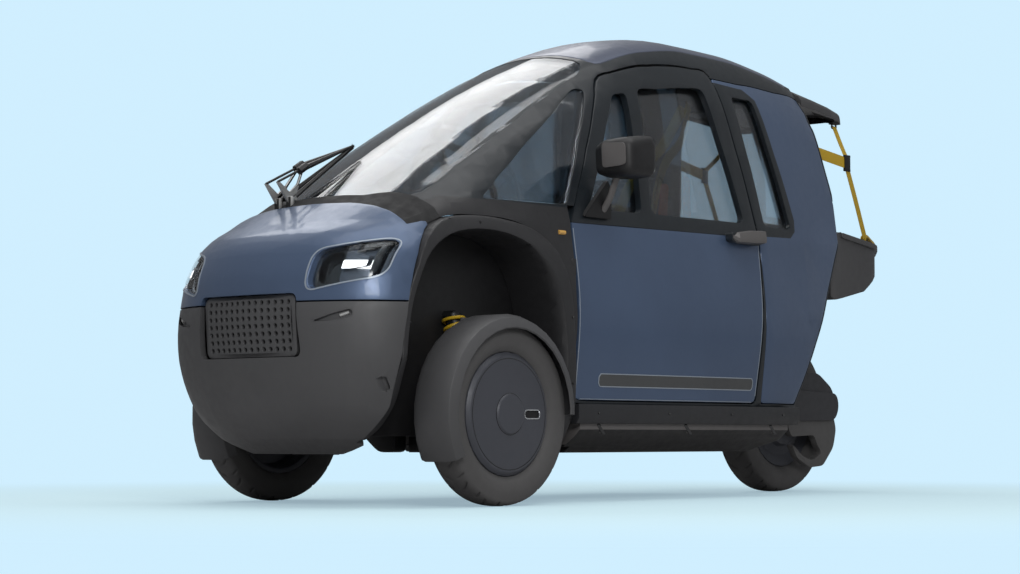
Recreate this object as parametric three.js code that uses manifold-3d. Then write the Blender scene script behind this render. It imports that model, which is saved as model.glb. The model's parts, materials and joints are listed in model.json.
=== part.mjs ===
// Narrow enclosed electric microcar, two wheels in front and one behind. Millimetres, +X forward,
// +Y left, +Z up. Written with x = 0 at the front axle; the group is shifted at the end.
import * as THREE from 'three';
import { mergeVertices } from 'three/addons/utils/BufferGeometryUtils.js';
import Module from 'manifold-3d';
const wasm = await Module();
wasm.setup();
const { Manifold, Mesh: MMesh } = wasm;

// ---------------------------------------------------------------- sizes
const WHEELBASE = 2080;
const TRACK = 930;
const R_FRONT = 265;
const R_REAR = 282;
const TYRE_W = 112;
const REAR_TYRE_W = 126;
const RIM_F = R_FRONT - 85;
const RIM_R = R_REAR - 92;
const FY = TRACK / 2;
const SEAT = 0.3; // left between pieces that seat on each other
const PANEL_T = 20;
const DOOR_T = 34;
const LINER_T = 36;
const UNDER_Z = 150;
const FLOOR_Z = 300;
const WELL_TOP = 742;
const SEAM_Z = 578; // where the nose panel meets the bumper
const SIDE_Y = 454; // body side at the wheel arches
const TUB_Y = 262;
const SHIFT_X = 952.93; // puts the middle of the footprint at x = 0
const SEG = 26;
const rear = (dx) => dx - WHEELBASE; // x measured from the rear axle

// ---------------------------------------------------------------- helpers
function toSolid(geo) {
  const g0 = geo.clone();
  for (const k of Object.keys(g0.attributes)) if (k !== 'position') g0.deleteAttribute(k);
  const g = mergeVertices(g0, 1e-3);
  const p = g.attributes.position.array;
  const ix = g.index.array;
  const tri = [];
  let vol = 0;
  for (let i = 0; i < ix.length; i += 3) {
    const [a, b, c] = [ix[i], ix[i + 1], ix[i + 2]];
    if (a === b || b === c || a === c) continue;
    tri.push(a, b, c);
    const [ax, ay, az] = [p[3 * a], p[3 * a + 1], p[3 * a + 2]];
    const [bx, by, bz] = [p[3 * b], p[3 * b + 1], p[3 * b + 2]];
    const [cx, cy, cz] = [p[3 * c], p[3 * c + 1], p[3 * c + 2]];
    vol += ax * (by * cz - bz * cy) - ay * (bx * cz - bz * cx) + az * (bx * cy - by * cx);
  }
  if (vol < 0) for (let i = 0; i < tri.length; i += 3) [tri[i], tri[i + 1]] = [tri[i + 1], tri[i]];
  return Manifold.ofMesh(new MMesh({
    numProp: 3, vertProperties: new Float32Array(p), triVerts: new Uint32Array(tri),
  }));
}
function raw(pos, idx) {
  const g = new THREE.BufferGeometry();
  g.setAttribute('position', new THREE.Float32BufferAttribute(pos, 3));
  g.setIndex(idx);
  return g;
}
// skin over closed rings of equal length, capped from each end ring's centre
function loft(rings) {
  const n = rings[0].length;
  const pos = [];
  const idx = [];
  for (const r of rings) for (const q of r) pos.push(...q);
  for (let i = 0; i < rings.length - 1; i++) {
    for (let j = 0; j < n; j++) {
      const a = i * n + j;
      const b = i * n + ((j + 1) % n);
      if (j < n / 2) idx.push(a, b, b + n, a, b + n, a + n);
      else idx.push(a, b, a + n, b, b + n, a + n);
    }
  }
  for (const [i, flip] of [[0, true], [rings.length - 1, false]]) {
    const r = rings[i];
    const c = [0, 1, 2].map((k) => r.reduce((s, q) => s + q[k], 0) / n);
    const m = pos.length / 3;
    pos.push(...c);
    for (let j = 0; j < n; j++) {
      const a = i * n + j;
      const b = i * n + ((j + 1) % n);
      if (flip) idx.push(b, a, m);
      else idx.push(a, b, m);
    }
  }
  return toSolid(raw(pos, idx));
}
// outline rounded by r at its corners, or by a point's own third value
function shapeOf(pts, r = 0) {
  const s = new THREE.Shape();
  if (!r) {
    s.setFromPoints(pts.map((q) => new THREE.Vector2(q[0], q[1])));
    return s;
  }
  const n = pts.length;
  pts.forEach((q, i) => {
    const a = new THREE.Vector2(...pts[(i + n - 1) % n]);
    const b = new THREE.Vector2(...q);
    const c = new THREE.Vector2(...pts[(i + 1) % n]);
    const ra = Math.min(q[2] ?? r, a.distanceTo(b) / 2.01, c.distanceTo(b) / 2.01);
    const p1 = b.clone().add(a.sub(b).setLength(ra));
    const p2 = b.clone().add(c.sub(b).setLength(ra));
    if (i === 0) s.moveTo(p1.x, p1.y);
    else s.lineTo(p1.x, p1.y);
    s.quadraticCurveTo(b.x, b.y, p2.x, p2.y);
  });
  s.closePath();
  return s;
}
const extrude = (pts, depth, r, seg) => new THREE.ExtrudeGeometry(
  shapeOf(pts, r), { depth, bevelEnabled: false, curveSegments: seg });
// side outline [[x, z], ...] extruded from y0 to y1
function side(pts, y0, y1, r = 0, seg = 3) {
  const g = extrude(pts, y1 - y0, r, seg);
  g.rotateX(Math.PI / 2);
  g.translate(0, y1, 0);
  return toSolid(g);
}
// plan outline [[x, y], ...] extruded from z0 to z1
function plan(pts, z0, z1, r = 0, seg = 3) {
  const g = extrude(pts, z1 - z0, r, seg);
  g.translate(0, 0, z0);
  return toSolid(g);
}
// front outline [[y, z], ...] extruded from x0 to x1
function front(pts, x0, x1, r = 0, seg = 3) {
  const g = extrude(pts, x1 - x0, r, seg);
  g.applyMatrix4(new THREE.Matrix4().set(0, 0, 1, x0, 1, 0, 0, 0, 0, 1, 0, 0, 0, 0, 0, 1));
  return toSolid(g);
}
function box(x0, x1, y0, y1, z0, z1) {
  const g = new THREE.BoxGeometry(x1 - x0, y1 - y0, z1 - z0);
  g.translate((x0 + x1) / 2, (y0 + y1) / 2, (z0 + z1) / 2);
  return toSolid(g);
}
// lathe about the Y axis at (x, z): profile [[r, y], ...] closed
function turned(profile, x, z, seg = SEG) {
  const pts = [...profile, profile[0]].map((q) => new THREE.Vector2(q[0], q[1]));
  const g = new THREE.LatheGeometry(pts, seg);
  g.translate(x, 0, z);
  return toSolid(g);
}
// round bar between two points
function bar(a, b, r, seg = 12, r2 = r) {
  const A = new THREE.Vector3(...a);
  const B = new THREE.Vector3(...b);
  const g = new THREE.CylinderGeometry(r2, r, A.distanceTo(B), seg);
  const q = new THREE.Quaternion().setFromUnitVectors(
    new THREE.Vector3(0, 1, 0), B.clone().sub(A).normalize());
  g.applyQuaternion(q);
  g.translate(...A.add(B).multiplyScalar(0.5).toArray());
  return toSolid(g);
}
const union = (list) => Manifold.union(list);
const cut = (a, ...bs) => (bs.length ? a.subtract(union(bs)) : a);
const both = (a, b) => a.intersect(b);
const mirror = (m) => m.mirror([0, 1, 0]);

const MATS = {
  blue: [0x5f7f96, 0.35, 0.6], roof: [0x8794a0, 0.35, 0.6], dark: [0x3b3e42, 0.6, 0.1],
  black: [0x151618, 0.5, 0.1], gloss: [0x0c0d0f, 0.15, 0.1], glass: [0x9fb4bd, 0.05, 0],
  tyre: [0x1b1b1c, 0.9, 0], disc: [0x59606a, 0.45, 0.4], grey: [0x6b6f74, 0.6, 0.2],
  yellow: [0xf1c21b, 0.6, 0], seat: [0x2a2c30, 0.85, 0],
};
const group = new THREE.Group();
group.name = 'electric_microcar';
function add(name, m, mat) {
  const parts = m.decompose();
  if (parts.length > 1) parts.sort((a, b) => b.volume() - a.volume());
  const small = parts.slice(1).reduce((s, q) => s + q.volume(), 0);
  if (small > 50) console.error(`${name}: ${parts.length} bodies, ${Math.round(small)} mm3 loose`);
  const mesh = (parts.length > 1 ? parts[0] : m).asOriginal().simplify(0.06).getMesh();
  const g = raw(Array.from(mesh.vertProperties), Array.from(mesh.triVerts));
  g.translate(SHIFT_X, 0, 0);
  g.computeVertexNormals();
  const [color, roughness, metalness] = MATS[mat];
  const o = new THREE.Mesh(g, new THREE.MeshStandardMaterial({ color, roughness, metalness }));
  o.name = name;
  group.add(o);
}
function pair(name, m, mat) {
  add(`${name}_left`, m, mat);
  add(`${name}_right`, mirror(m), mat);
}

// ---------------------------------------------------------------- cabin loft
// half section at each station: roof centre, shoulder, belt, widest line, sill
const CABIN = [
  // x, zTop, yShoulder, zShoulder, yBelt, zBelt, yMid, zMid, ySill, zSill
  [400, 800, 285, 775, 345, 745, 350, 600, 350, 300],
  [200, 925, 300, 885, 385, 800, 400, 600, 400, 300],
  [0, 1052, 300, 1000, 405, 835, 425, 600, 420, 300],
  [-200, 1175, 295, 1110, 412, 850, 440, 600, 425, 300],
  [-400, 1290, 290, 1215, 418, 855, 448, 600, 425, 300],
  [-580, 1382, 288, 1300, 422, 857, 452, 600, 428, 300],
  [-760, 1460, 287, 1372, 424, 859, 455, 600, 430, 300],
  [-960, 1520, 287, 1428, 425, 861, 457, 600, 431, 300],
  [-1200, 1550, 286, 1455, 424, 864, 455, 600, 428, 300],
  [-1450, 1548, 283, 1452, 418, 867, 445, 600, 418, 300],
  [rear(380), 1525, 277, 1430, 402, 870, 420, 600, 390, 300],
  [rear(120), 1480, 268, 1388, 376, 873, 382, 600, 345, 300],
].map((r) => Object.fromEntries(
  ['x', 'zT', 'yS', 'zS', 'yB', 'zB', 'yM', 'zM', 'yL', 'zL'].map((k, i) => [k, r[i]])));
const mix = (a, b, f) => a + (b - a) * f;
function cabinHalf(s) {
  const rise = s.zT - s.zS;
  return [
    [0, s.zT], [0.48 * s.yS, s.zT - 0.15 * rise], [0.84 * s.yS, s.zT - 0.54 * rise],
    [mix(s.yS, s.yB, 0.1) + 5, mix(s.zS, s.zB, 0.1)], [mix(s.yS, s.yB, 0.52) + 15, mix(s.zS, s.zB, 0.52)],
    [s.yB, s.zB], [s.yM, s.zM], [s.yL, s.zL], [0, s.zL],
  ];
}
// half section moved inwards by t, mitred at its corners; both ends stay on the middle plane
function inset(half, t) {
  const dir = (a, b) => {
    const l = Math.hypot(b[0] - a[0], b[1] - a[1]);
    return [(b[1] - a[1]) / l, (a[0] - b[0]) / l];
  };
  return half.map((q, i) => {
    const n1 = i ? dir(half[i - 1], q) : null;
    const n2 = i < half.length - 1 ? dir(q, half[i + 1]) : null;
    if (!n1 || !n2) return [0, q[1] + t * Math.sign((n1 ?? n2)[1])];
    const k = t / (1 + n1[0] * n2[0] + n1[1] * n2[1]);
    return [q[0] + k * (n1[0] + n2[0]), q[1] + k * (n1[1] + n2[1])];
  });
}
function cabinRing(s, t) {
  const half = inset(cabinHalf(s), t);
  const right = half.slice(1, -1).reverse().map((q) => [-q[0], q[1]]);
  return [...half, ...right].map((q) => [s.x, q[0], q[1]]);
}
function cabin(t, ends = 0) {
  const rings = CABIN.map((s) => cabinRing(s, t));
  if (ends) {
    rings[0] = rings[0].map((q) => [q[0] + ends, q[1], q[2] - 0.6 * ends]);
    rings[rings.length - 1] = rings[rings.length - 1].map((q) => [q[0] - ends, q[1], q[2]]);
  }
  return loft(rings);
}
const shell = (t0, t1) => cut(cabin(t0), cabin(t1, 60));

// wheel arch opening and the outer edge of the fender around it
const ARCH = [[345, 20], [345, 420], [318, 600], [236, 742], [96, 800], [-110, 800], [-238, 738],
  [-312, 600], [-338, 420], [-346, 20]];
const ARCH_OUT = [[371, 116], [371, 440], [344, 630], [256, 790], [110, 846], [-130, 846], [-290, 796],
  [-374, 650], [-392, 440], [-397, 116]];

// hinge lines of the hatch and the tailgate, [x, z], and where their barrels start across the car
const HINGE_H = [rear(208), 1496];
const HINGE_G = [rear(82), 930];
const BARREL_H = 30;
const BARREL_G = 120;

// cut lines seen from the side
const DOOR_LOW = [[-404, 312], [-404, 852, 2], [-1396, 866, 2], [-1364, 312]];
const DOOR_UP = [[-404, 852.3, 2], [-700, 1345], [-960, 1408], [-1290, 1432], [-1396, 866.3, 2]];
const WIN_FRONT = [[-500, 900], [-735, 1290], [-800, 1300], [-760, 905]];
const WIN_REAR = [[-812, 906], [-858, 1318], [-1215, 1360], [-1325, 912]];
const WIN_BOTH = [[-488, 892], [-738, 1308], [-860, 1332], [-1228, 1376], [-1342, 900]];
const QUARTER_WIN = [[-30, 900], [-398, 908], [-622, 1292], [-578, 1292]];
const REAR_WIN = [[-1466, 925], [-1398, 1335], [-1496, 1332], [-1602, 925]];
const REAR_WIN_IN = [[-1448, 910], [-1380, 1351], [-1508, 1348], [-1622, 910]];
const TAIL_LINE = [[rear(440), 306], [rear(380), 400], [rear(90), 930], [rear(234), 1560]];
const REAR_Q = [
  [-1404, 312], [-1404, 868], [-1300, 1405], [rear(208), 1400], [rear(98), 930], [rear(388), 400],
  [rear(446), 312],
];
const DOOR_IN = 372; // inner edge of the door's own sill flange
const doorLow = side(DOOR_LOW, DOOR_IN, 600, 26);
const doorUp = side(DOOR_UP, 120, 600, 50);
const grow = (pts, d) => {
  const cx = pts.reduce((s, q) => s + q[0], 0) / pts.length;
  const cz = pts.reduce((s, q) => s + q[1], 0) / pts.length;
  return pts.map((q) => {
    const l = Math.hypot(q[0] - cx, q[1] - cz);
    return [q[0] + ((q[0] - cx) / l) * d, q[1] + ((q[1] - cz) / l) * d];
  });
};
const doorHole = union([
  side(grow(DOOR_LOW, 8), DOOR_IN - 12, 600, 26), side(grow(DOOR_UP, 8), 120, 600, 50),
  box(-1402.5, -397.5, 120, 600, 815, 905),
]);
const bothSides = (m) => union([m, mirror(m)]);
const WS_PLAN = [[262, -190], [262, 190], [168, 306], [-690, 246], [-690, -246], [168, -306]];
const wsGlass = plan(WS_PLAN, 700, 1600, 60);
const wsRoom = plan(grow(WS_PLAN, 3), 700, 1600, 60);
const wsHole = plan(grow(WS_PLAN, -24), 700, 1600, 50);
const ROOF_PLAN = [[-716, -250], [-716, 250], [rear(228), 240], [rear(228), -240]];
const roofCut = plan(ROOF_PLAN, 1300, 1700, 40);
const tail = side([[rear(440), 100], ...TAIL_LINE, [rear(-220), 1560], [rear(-220), 100]], -600, 600);
const wellCut = union([box(-396, 600, -TUB_Y - 0.2, TUB_Y + 0.2, 0, WELL_TOP),
  box(-300, 600, -600, 600, 0, WELL_TOP)]);

const outer20 = cabin(-30, 30).subtract(cabin(PANEL_T + SEAT, 60));
const frameHoles = union([
  bothSides(doorHole), wsHole, both(cut(cabin(-30, 30), cabin(8.3, 60)), wsRoom),
  bothSides(side(grow(QUARTER_WIN, 2), 120, 600, 26)),
  bothSides(side(REAR_WIN, 120, 600, 22)), tail, wellCut,
  both(outer20, plan(grow(ROOF_PLAN, 3), 1300, 1700, 40)),
  both(outer20, bothSides(side(grow(REAR_Q, 3), 120, 600))),
  bothSides(side(grow(ARCH_OUT, 1), 250, 700, 40)),
]);
const frame = cut(shell(0, LINER_T), frameHoles);
add('roof_panel', cut(both(shell(0, PANEL_T), roofCut), tail), 'roof');
add('windscreen', both(shell(2, 8), wsGlass), 'glass');
pair('quarter_glass', both(shell(4, 9), side(QUARTER_WIN, 120, 600, 26)), 'glass');
pair('rear_quarter', cut(both(shell(0, PANEL_T), side(REAR_Q, 120, 600, 12)),
  side(REAR_WIN_IN, 120, 600, 22), tail), 'blue');
pair('rear_quarter_glass', both(shell(14, 20), side(grow(REAR_WIN_IN, -2), 120, 600, 22)), 'glass');

// doors: blue lower shell, dark window frame, one pane behind both openings
pair('door', both(shell(0, DOOR_T), doorLow), 'blue');
const handle = cut(side([[-1200, 842], [-1200, 872], [-1385, 884], [-1392, 850], [-1350, 836]], 405, 452,
  10), both(cabin(-0.7), side(grow(DOOR_LOW, 0.6), 150, 600, 2)));
pair('door_frame', union([handle, cut(both(shell(0, 22), doorUp),
  side(WIN_FRONT, 120, 600, 22), side(WIN_REAR, 120, 600, 28))]),
'dark');
pair('door_glass', both(shell(22.3, 27), side(WIN_BOTH, 120, 600, 30)), 'glass');
pair('mirror', cut(union([
  side([[-455, 872], [-590, 872], [-575, 975], [-560, 1000]], 380, 440, 6),
  bar([-548, 400, 915], [-540, 462, 935], 12, 8), bar([-540, 462, 935], [-545, 500, 1020], 12, 8),
  side([[-468, 992], [-474, 1108], [-596, 1130], [-612, 1004]], 446, 590, 24),
]), cabin(-0.3, 10)), 'black');

// ---------------------------------------------------------------- nose, bumper, cowl
// plan section of the nose at each level: a superellipse quarter on each side, boxier low down
const NOSE = [
  // z, xFront, yHalf, xBack, exponent
  [UNDER_Z, 386, 240, 260, 0.9], [195, 448, 338, 260, 0.8], [285, 505, 412, 260, 0.7],
  [420, 545, 453, 250, 0.68], [540, 562, 462, 240, 0.74], [640, 558, 456, 230, 0.79],
  [715, 530, 440, 215, 0.8], [775, 474, 415, 200, 0.8], [818, 396, 386, 190, 0.8],
  [852, 340, 358, 172, 0.8], [895, 270, 306, 150, 0.8],
].map((r) => Object.fromEntries(['z', 'xF', 'y', 'xB', 'e'].map((k, i) => [k, r[i]])));
function noseRing(s, t) {
  const half = [0, 0.26, 0.46, 0.62, 0.77, 0.9, 1].map((u) => {
    const a = (u * Math.PI) / 2;
    const [c, w] = [Math.max(Math.cos(a), 0) ** s.e, Math.sin(a) ** s.e];
    return [s.xB + (s.xF - t - s.xB) * c, (s.y - t) * w];
  });
  const low = half.slice(1).reverse().map((q) => [q[0], -q[1]]);
  return [...half, ...low].map((q) => [q[0], q[1], s.z]);
}
function noseSolid(t) {
  const rings = NOSE.map((s) => noseRing(s, t));
  if (t > 0) {
    rings[0] = rings[0].map((q) => [q[0] - 8, q[1], q[2] + t]);
    rings[rings.length - 1] = rings[rings.length - 1].map((q) => [q[0], q[1], q[2] - t]);
  }
  return loft(rings);
}
const noseShell = cut(noseSolid(0), both(noseSolid(22), box(-100, 540, -600, 600, 0, 1000)));
const LAMP = [[226, 608], [229, 722], [404, 758], [410, 650]]; // seen from the front
const lampHole = front(LAMP, 200, 700, 30);
const GRILLE = [[-186, 424], [-186, 602], [186, 602], [186, 424]];
const grilleCut = front(grow(GRILLE, 1), 470, 700, 24);
const upper = box(215, 700, -600, 600, SEAM_Z + 2, 900);
const lower = box(215, 700, -600, 600, 100, SEAM_Z - 2);
const tubRoom = box(-500, 344.3, -TUB_Y, TUB_Y, 100, WELL_TOP);
const archRoom = side(grow(ARCH_OUT, 1), TUB_Y, 700, 40); // left clear for the fender
const COWL_T = 6;
const COWL_PLAN = [[288, -376], [288, 376], [150, 392], [196, 270], [232, 150], [232, -150],
  [196, -270], [150, -392]];
const cabinFront = both(union([cabin(-0.7, 30), cabin(-0.7)]), box(-100, 700, -600, 600, WELL_TOP, 2000));
const cowlRoom = plan(grow(COWL_PLAN, 0.4), 740, 1000);
const seamed = cut(noseShell, bothSides(archRoom),
  grilleCut, bothSides(lampHole), cabinFront, tubRoom,
  box(-100, 214, -600, 600, 0, 1000));
add('nose_panel', cut(both(seamed, upper), cowlRoom), 'blue');
// pockets in the bumper: a long slot under each lamp and a small upright oval beside it
const pocket = cut(noseSolid(-5), noseSolid(11));
const slots = both(pocket, front([[246, 522], [300, 541], [352, 555], [358, 541], [350, 530], [290, 521]],
  300, 700, 8));
const ovals = both(pocket, front([[388, 320], [388, 364], [404, 364], [404, 320]], 300, 700, 8));
add('bumper', cut(both(seamed, lower), bothSides(union([slots, ovals]))), 'dark');
const lampIn = front(grow(LAMP, -2 * SEAT), 200, 700, 30);
pair('headlamp_lens', cut(both(cut(noseSolid(1), noseSolid(5)), lampIn),
  archRoom, cabinFront), 'glass');
// lamp body: a deep round tunnel inboard, a proud light bar, a divider and a baffle over the bar
const lampFace = cut(noseSolid(8), noseSolid(40));
const lampForms = both(union([
  front([[308, 664], [308, 694], [362, 706], [362, 676]], 200, 700, 6),
  front([[374, 600], [374, 800], [382, 800], [382, 600]], 200, 700),
  front([[322, 800], [374, 800], [374, 735], [342, 722]], 200, 700),
]), lampFace);
const lampTunnel = front([[236, 622], [236, 712], [300, 722], [300, 634]], 200, 700, 30);
pair('headlamp', cut(both(union([both(union([cut(noseSolid(22), noseSolid(70)), lampForms]), lampIn)]),
  cut(box(100, 700, 0, 600, 500, 900), both(lampTunnel, cut(noseSolid(0), noseSolid(52))))),
archRoom, cabinFront, tubRoom), 'grey');
const GRILLE_COLS = 14;
const GRILLE_ROWS = 7;
const PITCH_Y = 24.6;
const PITCH_Z = 22;
const HOLE = 6.5; // half width of a grille hole
const centred = (n, pitch) => Array.from({ length: n }, (_, i) => (i - (n - 1) / 2) * pitch);
const grilleHoles = union(centred(GRILLE_COLS, PITCH_Y).flatMap((y) => centred(GRILLE_ROWS, PITCH_Z).map(
  (dz) => box(470, 700, y - HOLE, y + HOLE, 513 + dz - HOLE, 513 + dz + HOLE))));
add('grille', cut(both(cut(noseSolid(10), noseSolid(22)), front(GRILLE, 470, 700, 24)), grilleHoles),
  'black');

// ---------------------------------------------------------------- running gear
const tyreProfile = (r, w, rim) => [
  [rim, -0.34 * w], [rim + 18, -0.44 * w], [rim + 0.55 * (r - rim), -0.5 * w], [r - 18, -0.4 * w],
  [r, -0.1 * w], [r, 0.1 * w], [r - 18, 0.4 * w], [rim + 0.55 * (r - rim), 0.5 * w],
  [rim + 18, 0.44 * w], [rim, 0.34 * w]];
const at = (m, y) => m.translate([0, y, 0]);
const BORE = 15; // stub axle
pair('front_tyre', at(turned(tyreProfile(R_FRONT, TYRE_W, RIM_F), 0, R_FRONT), FY), 'tyre');
const coverSlot = side([[-68, R_FRONT - 12], [-132, R_FRONT - 12], [-132, R_FRONT + 12],
  [-68, R_FRONT + 12]], FY + 42, FY + 80, 11);
pair('front_wheel', cut(at(turned([[BORE + SEAT, 42], [BORE + SEAT, -26], [48, -26], [52, 20],
  [RIM_F - 30, 24], [RIM_F - 16, -34], [RIM_F - SEAT, -36], [RIM_F - SEAT, 40], [RIM_F - 12, 50], [60, 52],
  [56, 58], [0, 60], [0, 42]], 0, R_FRONT), FY), coverSlot), 'disc');
const KING = 105; // half height of the upright
const knuckle = union([
  bar([0, FY - 80, R_FRONT], [0, FY + 40, R_FRONT], BORE, 16),
  bar([0, FY - 92, R_FRONT], [0, FY - 40, R_FRONT], 42, 16),
  side([[-30, R_FRONT - KING], [30, R_FRONT - KING], [34, R_FRONT], [24, R_FRONT + KING + 2],
    [-24, R_FRONT + KING + 2], [-34, R_FRONT]], FY - 96, FY - 74, 8),
]);
// mudguard: an arc close over the tyre, cut to a point at axle height behind
const GUARD = R_FRONT + 19;
// half profile, rounded over the tyre's shoulder
const guardHalf = (g, y) => [[g, 0.55 * y], [g - 10, 0.84 * y], [g - 38, y]];
const guardSkin = [...guardHalf(GUARD + 5, 79), ...guardHalf(GUARD + 1, 75).reverse()];
const guardRing = at(turned([...guardSkin, ...guardSkin.map(([r, y]) => [r, -y]).reverse()],
  0, R_FRONT, 34), FY);
const guardCut = side([[0, R_FRONT], [420, R_FRONT - 225], [420, 2 * R_FRONT + 170],
  [-420, 2 * R_FRONT + 170], [-420, R_FRONT]], FY - 90, FY + 90);
const guardStay = cut(side([[-60, R_FRONT - 65], [60, R_FRONT - 65], [80, R_FRONT + 35],
  [70, R_FRONT + GUARD - 4], [-70, R_FRONT + GUARD - 4], [-80, R_FRONT + 35]], FY - 78, FY - 74),
box(-52, 52, 0, 600, R_FRONT + 101, R_FRONT + 131));
pair('knuckle', union([knuckle, both(guardRing, guardCut), guardStay]), 'black');

add('rear_tyre', turned(tyreProfile(R_REAR, REAR_TYRE_W, RIM_R), rear(0), R_REAR), 'tyre');
add('rear_wheel', turned([[0, -58], [110, -58], [118, -40], [150, -30], [RIM_R - 18, -40],
  [RIM_R - SEAT, -44], [RIM_R - SEAT, 44], [RIM_R - 18, 40], [150, 30], [118, 40], [110, 58], [0, 58]],
rear(0), R_REAR), 'disc');

// ---------------------------------------------------------------- fenders and footwell
const FLARE_TOP = [[SIDE_Y, 470], [SIDE_Y, 660], [440, 770], [412, 850], [TUB_Y, 850]];
const fenderFlare = both(
  plan([[371, TUB_Y], [371, SIDE_Y - 16], [300, SIDE_Y], [-300, SIDE_Y], [-397, SIDE_Y - 6],
    [-397, TUB_Y]], 100, 900),
  union([
    front([[TUB_Y, 186], [288, 196], [330, 222], [392, 288], [438, 400], ...FLARE_TOP], 0, 500, 20),
    front([[TUB_Y, UNDER_Z], [336, UNDER_Z], [396, 196], [440, 286], ...FLARE_TOP], -500, 0, 20),
  ]));
// the liner's opening, rolled outwards in a bell mouth where it reaches the body side
const archRoll = [[200, 0], [SIDE_Y - 46, 0], [SIDE_Y - 18, 7], [SIDE_Y + 2, 22]];
const archOpening = loft(archRoll.map(([y, d]) => shapeOf(grow(ARCH, d), 60).extractPoints(3).shape
  .slice(0, -1).map((q) => [q.x, y, q.y])));
const fender = cut(both(side(ARCH_OUT, TUB_Y + SEAT, SIDE_Y + 1, 40), fenderFlare), archOpening);
pair('fender', fender, 'dark');
const WELL_T = 14;
const well = side([[344, 216], [344, 600], [236, WELL_TOP - 1], [96, 802], [-110, 802], [-240, WELL_TOP - 1],
  [-396, WELL_TOP - 1], [-396, 216]], TUB_Y - WELL_T, TUB_Y - 0.4);
const TUB_IN = TUB_Y - 0.4;
const PACK_Y = 245; // half width of the battery pack block
const TONGUE_Y = 82; // the swing arm's inner face rests here
add('floor_tub', union([
  box(rear(520), -390, -PACK_Y, PACK_Y, UNDER_Z, FLOOR_Z - 0.4),
  box(rear(380), rear(540), -TONGUE_Y + SEAT, TONGUE_Y - SEAT, 200, 290),
  box(rear(R_REAR + 26), rear(390), -30, 30, 200, 288),
  well, mirror(well), box(-396, 344, -TUB_IN, TUB_IN, 202, 217), box(330, 344, -TUB_IN, TUB_IN, 202, 560),
  box(-396, -384, -TUB_IN, TUB_IN, 202, FLOOR_Z - 0.4),
]), 'black');

// ---------------------------------------------------------------- sills, battery boxes, tail frame
const batteryBox = cut(
  front([[246, 152], [330, 152], [396, 196], [424, 222], [424, 250], [246, 250]], rear(520), -436),
  side([[rear(780), 100], [rear(380), 100], [rear(380), 236]], 0, 600), box(-470, -400, 0, 600, 100, 170));
const SLOTS = [-560, -1010, rear(590)]; // diagonal slots along the upper edge of the box
const slot = (x) => side([[x, 208], [x + 34, 246], [x + 46, 246], [x + 12, 208]], 412, 430);
pair('battery_box', cut(union([batteryBox, front([[300, 240], [436, 240], [446, 258],
  [446, FLOOR_Z - 0.4], [300, FLOOR_Z - 0.4]], rear(480), -404)]), ...SLOTS.map(slot)), 'grey');
const bulkhead = both(cabin(30, 60), side([[rear(520), 330], [rear(456), 330], [rear(394), 412],
  [rear(108), 934], [rear(122), 940], [rear(406), 424], [rear(466), 350], [rear(520), 350]], -600, 600));
// lugs either side of a hinge barrel; grown by g they are the clearance cut into the moving part
const lugs = ([x, z], y, reach, g = 0) => bothSides(union([y + 40.3, y - 12].map((y0) => box(
  x - 6 - 2 * g, x + reach + 3 * g, y0 - g, y0 + 11.7 + g, z - 12 - 3 * g, z + 4 + 3 * g))));
const doorLugs = [560, 690].map((z) => box(-403.7, -384, 424, 434, z, z + 50));
add('cabin_frame', union([frame, bulkhead, lugs(HINGE_H, BARREL_H, 18), lugs(HINGE_G, BARREL_G, 40),
  bothSides(union(doorLugs))]), 'dark');

// ---------------------------------------------------------------- seats, dash, controls
const SEAT_Z = FLOOR_Z + LINER_T + SEAT;
add('front_seat', side([[-760, SEAT_Z], [-760, 470], [-730, 520], [-1090, 500], [-1180, 900],
  [-1150, 1120], [-1190, 1130], [-1250, 900], [-1160, 440], [-1150, SEAT_Z]], -200, 200, 24), 'seat');
add('rear_seat', side([[-1240, SEAT_Z], [-1236, 470], [-1250, 520], [rear(580), 500], [rear(440), 900],
  [rear(380), 900], [rear(520), 440], [rear(520), 352], [rear(620), SEAT_Z]], -190, 190, 24), 'seat');
const dash = cut(both(cabin(38, 60), side([[330, WELL_TOP + 2], [330, 850], [60, 880], [20, 760],
  [60, WELL_TOP + 2]], -400, 400, 12)), bothSides(side(grow(ARCH_OUT, 2), TUB_Y - WELL_T - 0.6, 700, 40)));
const HUB = [-330, 0, 960];
const tilt = new THREE.Matrix4().makeRotationY(-Math.PI * 0.36);
const rim = union([toSolid(new THREE.TorusGeometry(165, 13, 6, 20)), box(-160, 160, -14, 14, -6, 6),
  bar([0, 0, -50], [0, 0, 10], 34, 16)]);
add('steering_wheel', rim.transform(tilt.clone().setPosition(...HUB).elements), 'black');
const along = (d) => new THREE.Vector3(0, 0, -d).applyMatrix4(tilt).add(new THREE.Vector3(...HUB)).toArray();
add('dashboard', union([dash, bar(along(50 + SEAT), along(430), 22, 14)]), 'black');

// ---------------------------------------------------------------- cowl and wipers
add('cowl', cut(both(cut(cabin(-COWL_T), cabin(-0.4)), plan(COWL_PLAN, 760, 1000)),
  bothSides(archRoom)), 'gloss');
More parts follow.
